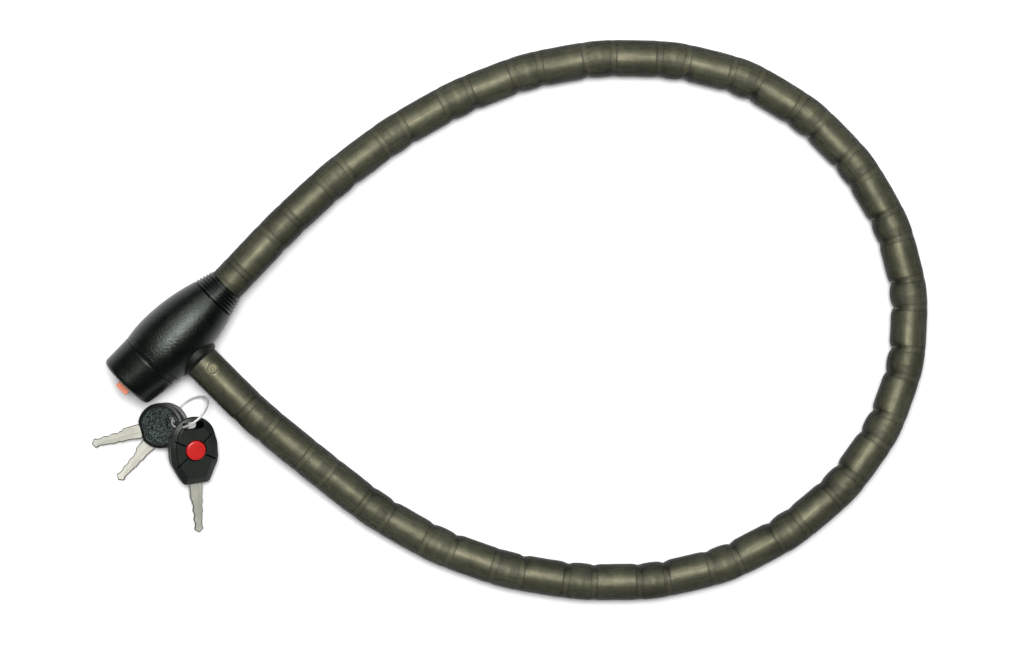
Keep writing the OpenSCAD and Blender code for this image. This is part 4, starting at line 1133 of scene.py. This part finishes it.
class LOCK_OT_works(bpy.types.Operator):
    """Finishes the cylinder, the latch and the other pieces inside the head"""
    bl_idname = "lock.works"
    bl_label = "Finish the works"

    def execute(self, context):
        dress(["lock_body", "plug_cam"], bare_metal("die_cast", (0.5, 0.51, 0.52), 0.45, soft=4e-4))
        dress(["cylinder_shell", "key_plug", "wafers"], bare_metal("turned_brass", (0.78, 0.6, 0.3), 0.28))
        dress(["plug_clip", "cylinder_pin", "latch_plate", "latch_spring", "rope_anchor", "anchor_pin"],
              bare_metal("bright_steel", (0.6, 0.6, 0.59), 0.25))
        return {"FINISHED"}


class LOCK_OT_plain_keys(bpy.types.Operator):
    """Builds the two plain keys with their grained bows"""
    bl_idname = "lock.plain_keys"
    bl_label = "Build the plain keys"

    def execute(self, context):
        s = context.scene.lock_keys
        grain = leathered("grained_bow", s.bow_colour)
        plated = bare_metal("plated_blade", s.nickel_colour, 0.5, metallic=0.7)
        for number, pose in ((1, KEY_1_POSE), (2, KEY_2_POSE)):
            body = f"key_{number}"
            place = key_matrix(pose)
            bow = self.bow()
            piece(f"bow_{number}", bow, place, body, grain, (f"key_{number}_bow",), 30.0)
            blade = key_blade(1.0, BLADE_LEN)
            blade.transform(Matrix.Translation((BOW_ROOT, 0, 0)))
            piece(f"blade_{number}", blade, place, body, plated, (f"key_{number}_blade",), 25.0)
        return {"FINISHED"}

    @staticmethod
    def bow():
        """A round bow with a flat root, a raised rim and a slot for the ring."""
        outline = []
        reach = math.acos((BOW_ROOT - BOW_AT) / BOW_R)
        for a in np.linspace(reach, 2 * math.pi - reach, 90):
            outline.append((BOW_AT + BOW_R * math.cos(a), BOW_R * math.sin(a)))
        half = BOW_T / 2
        floor = half - PANEL_DEPTH
        upper = [(0, half - 0.5), (0.15, half - 0.15), (0.5, half), (RIM_W, half), (RIM_W + 0.2, floor)]
        body = stacked(outline, [(inset, -z) for inset, z in upper[::-1]] + upper)
        slot = even_outline([(-4, -3), (1.2, -3), (1.2, 3), (-4, 3)], [1.5] * 4)
        cutter = prism("slot", slot, -4, 4)
        dimple = lathed([(0.3, half - 0.3), (0.7, half - 0.2), (0.9, half + 0.2)], 24)
        dimple.transform(Matrix.Translation((*DIMPLE_AT, 0)))
        tang = plate_box((BOW_ROOT - TANG_LEN, -TANG_W / 2 - 0.05, -BLADE_T / 2 - 0.05),
                         (BOW_ROOT + 2, TANG_W / 2 + 0.05, BLADE_T / 2 + 0.05))
        mesh = carved(body, cutter, tang, dimple)
        panel = mesh.attributes.new("panel", "FLOAT", "FACE")
        on_floor = [float(abs(abs(face.center.z) - floor) < 0.02) for face in mesh.polygons]
        panel.data.foreach_set("value", on_floor)
        return mesh


def key_blade(root, length):
    """A blade along +X from its root, cut in teeth along both edges, with a groove in each face
    and a spear-shaped tip. The root is its share of the full width there."""
    step = (length - 3.4) / len(DEEP_EDGE)

    def edge(halves):
        points = []
        for i, half in enumerate(halves):
            half = min(half, root * halves[0])
            points += [((i + 0.12) * step, half), ((i + 0.62) * step, half)]
        return points + [(length - 3.0, 2.1), (length - 2.5, 2.55), (length - 1.6, 2.45), (length - 0.5, 0.9)]

    outline = [(-TANG_LEN, -TANG_W / 2), (0, -TANG_W / 2)] + [(x, -y) for x, y in edge(DEEP_EDGE)]
    outline += [(length, -0.35), (length, 0.35)] + edge(SHALLOW_EDGE)[::-1]
    outline += [(0, TANG_W / 2), (-TANG_LEN, TANG_W / 2)]
    half = BLADE_T / 2
    body = stacked(outline, [(0.45, -half), (0, 0.3 - half), (0, half - 0.3), (0.45, half)])
    grooves = [plate_box((-1, side * 1.1 - 0.45, side * half - 0.35),
                         (length - 3.6, side * 1.1 + 0.45, side * half + 0.4)) for side in (-1, 1)]
    mesh = carved(body, *grooves)
    # The steep faces, on the edges and in the grooves, are marked for painted shade
    cut = mesh.attributes.new("cut", "FLOAT", "FACE")
    cut.data.foreach_set("value", [float(abs(face.normal.z) < 0.95) for face in mesh.polygons])
    return mesh


class LOCK_OT_lit_key(bpy.types.Operator):
    """Builds the lit key: two shells, a red button and a blade"""
    bl_idname = "lock.lit_key"
    bl_label = "Build the lit key"

    def execute(self, context):
        s = context.scene.lock_keys
        place = key_matrix(LIT_POSE)
        shell = moulded("key_shell", s.bow_colour, depth=5e-5, roughness=0.44, shine=0.6)
        for name, mesh in (("upper_shell", self.upper()), ("lower_shell", self.lower())):
            piece(name, mesh, place, "lit_key", shell, (f"lit_key_{name}",), 25.0)
        r = LIT_BUTTON_R
        button = lathed([(r, 2.25), (r, 4.55), (r - 0.12, 4.8), (r - 0.4, 4.98), (r - 0.9, 5.07),
                         (r * 0.6, 5.1), (r * 0.3, 5.1), (0.4, 5.1)], 72)
        button.transform(Matrix.Translation((LIT_BUTTON_AT, LIT_BUTTON_SIDE, 0)))
        red = gloss("red_button", s.button_colour, 0.36)
        piece("red_button", button, place, "lit_button", red, ("lit_key_button",), 30.0)
        blade = key_blade(LIT_BLADE_ROOT, LIT_BLADE_LEN)
        blade.transform(Matrix.Translation((LIT_END, 0, 0)))
        plated = bare_metal("lit_blade", s.nickel_colour, 0.5, metallic=0.7)
        piece("lit_blade", blade, place, "lit_key", plated, ("lit_key_blade",), 25.0)
        dress(["lit_key_board"], gloss("circuit_board", (0.03, 0.16, 0.07), 0.35))
        dress(["lit_key_cell", "lit_key_screw"], bare_metal("cell_steel", (0.7, 0.7, 0.7), 0.25))
        dress(["lit_key_lamp"], gloss("clear_lamp", (0.85, 0.9, 0.95), 0.12, Transmission_Weight=0.8))
        return {"FINISHED"}

    @staticmethod
    def outline(inset=0.0):
        """Round at the ring's end, widest beside the button, and drawn in to the blade."""
        half = LIT_W / 2
        side = [(11.3, half, 5), (19.6, half, 2), (22.4, 12.7, 3), (32.6, 7.6, 1.2), (LIT_END, 6.2, 0.6)]
        arc = [(7.8 + 12.3 * math.cos(a), 12.3 * math.sin(a), 0)
               for a in np.linspace(math.radians(104), math.radians(256), 48).tolist()]
        points = arc + [(x, -y, r) for x, y, r in side] + side[::-1]
        corners = drawn_in([(x, y) for x, y, _ in points], inset)
        return even_outline(corners, [max(r - inset, 0.25) if r else 0 for *_, r in points])

    def upper(self):
        body = stacked(self.outline, [
            (0.5, 0.1), (0.1, 0.3), (0, 0.7), (0, 2.3), (0.25, 2.75), (0.7, 3.05), (2.6, 4.0),
            (2.9, 3.95), (3.05, 3.75), (3.25, 3.75), (3.4, 4.25), (3.8, LIT_TOP)])
        cutters = [self.slot(-6.3, LIT_SLOT_OPEN, 0), self.slot(LIT_SLOT_OPEN - 4.0, 6.3, LIT_POCKET_FLOOR)]
        button = round_bar(LIT_HOLE_R, LIT_HOLE_FLOOR, 9.0, 64, (LIT_BUTTON_AT, LIT_BUTTON_SIDE))
        lug = plate_box((-9, -20, -3), (6.5, 20, 1.7))
        centre = Matrix.Translation((LIT_BUTTON_AT, LIT_BUTTON_SIDE, 0))
        grooves = []
        for angle in LIT_GROOVE_ANGLES:
            groove = plate_box((LIT_GROOVE_FROM, -0.45, LIT_GROOVE_FLOOR), (LIT_GROOVE_TO, 0.45, 6))
            groove.transform(centre @ Matrix.Rotation(math.radians(angle), 4, "Z"))
            grooves.append(groove)
        mesh = carved(body, *cutters, button, lug, *grooves)
        # The faces in the slot, in the button's hole and on the grooves' floors are marked for painted shade
        hollow = mesh.attributes.new("hollow", "FLOAT", "FACE")
        hollow.data.foreach_set("value", [float(self.in_shaded_hollow(face)) for face in mesh.polygons])
        return mesh

    @staticmethod
    def in_shaded_hollow(face):
        """Whether a face is in the ring's slot, in the hole round the button or on the floor of a groove,
        where it is painted black as shade.
        """
        x, y, z = face.center
        in_slot = abs(x) < 2.15 and abs(y) < 6.32 and (z < 2.0 or abs(face.normal.z) < 0.3)
        away = math.hypot(x - LIT_BUTTON_AT, y - LIT_BUTTON_SIDE)
        in_hole = away < LIT_HOLE_R + 0.05 and (z < LIT_HOLE_FLOOR + 0.05 or abs(face.normal.z) < 0.3)
        in_groove = LIT_GROOVE_FROM < away < LIT_GROOVE_TO + 0.1 and abs(z - LIT_GROOVE_FLOOR) < 0.02
        return in_slot or in_hole or in_groove

    @staticmethod
    def slot(low, high, floor):
        """A cutter with round ends across the key, from a floor upwards."""
        outline = even_outline([(-2.1, low), (2.1, low), (2.1, high), (-2.1, high)], [2.05] * 4)
        return prism("slot", outline, floor, 9)

    def lower(self):
        body = stacked(self.outline, [
            (1.2, -LIT_TOP), (0.5, 0.25 - LIT_TOP), (0.1, 0.8 - LIT_TOP), (0, 1.3 - LIT_TOP), (0, -0.7),
            (0.1, -0.3), (0.5, -0.1)])
        end = plate_box((-9, -20, -9), (6.5, 20, 3))
        window = plate_box((-3, -1.2, -1.6), (3, 1.2, 1.0))
        turn = Matrix.Rotation(math.radians(LIT_WINDOW_TURN), 4, "Z")
        window.transform(Matrix.Translation(LIT_WINDOW_AT) @ turn)
        screw = round_bar(2.0, -9, -3.5, 32, LIT_SCREW_AT)
        return carved(body, end, window, screw)


class LOCK_OT_split_ring(bpy.types.Operator):
    """Builds the split ring that holds the keys"""
    bl_idname = "lock.split_ring"
    bl_label = "Build the split ring"

    def execute(self, context):
        wire = bare_metal("ring_wire", (0.7, 0.7, 0.67), 0.42, metallic=0.45)
        mesh = ring_tree(wire).grown("split_ring", bpy.data.meshes.new("ring"))
        mesh.transform(Matrix.Scale(1 / MM, 4) @ Matrix.Rotation(math.radians(RING_END), 4, "Z"))
        piece("wire_ring", mesh, key_matrix(RING_POSE), "key_ring", wire, ("split_ring",), 60.0)
        return {"FINISHED"}


class LOCK_PT_panel(bpy.types.Panel):
    """The lock's pieces and their settings"""
    bl_label = "Cable lock"
    bl_idname = "LOCK_PT_panel"
    bl_space_type = "VIEW_3D"
    bl_region_type = "UI"
    bl_category = "Cable lock"

    def draw(self, context):
        layout = self.layout
        for key in SETTINGS:
            box = layout.box()
            for name in getattr(context.scene, key).__annotations__:
                box.prop(getattr(context.scene, key), name)
        for operator in OPERATORS:
            layout.operator(operator.bl_idname)


SETTINGS = {"lock_studio": StudioSettings, "lock_cable": CableSettings, "lock_head": HeadSettings,
            "lock_keys": KeySettings}
OPERATORS = (LOCK_OT_studio, LOCK_OT_cable, LOCK_OT_head, LOCK_OT_works, LOCK_OT_plain_keys, LOCK_OT_lit_key,
             LOCK_OT_split_ring)
CLASSES = (*SETTINGS.values(), *OPERATORS, LOCK_PT_panel)


def register():
    for kind in CLASSES:
        bpy.utils.register_class(kind)
    for key, kind in SETTINGS.items():
        setattr(bpy.types.Scene, key, PointerProperty(type=kind))


def unregister():
    for key in SETTINGS:
        delattr(bpy.types.Scene, key)
    for kind in reversed(CLASSES):
        bpy.utils.unregister_class(kind)


def main():
    register()
    for operator in OPERATORS:
        group, name = operator.bl_idname.split(".")
        getattr(getattr(bpy.ops, group), name)()


if __name__ == "__main__":
    main()
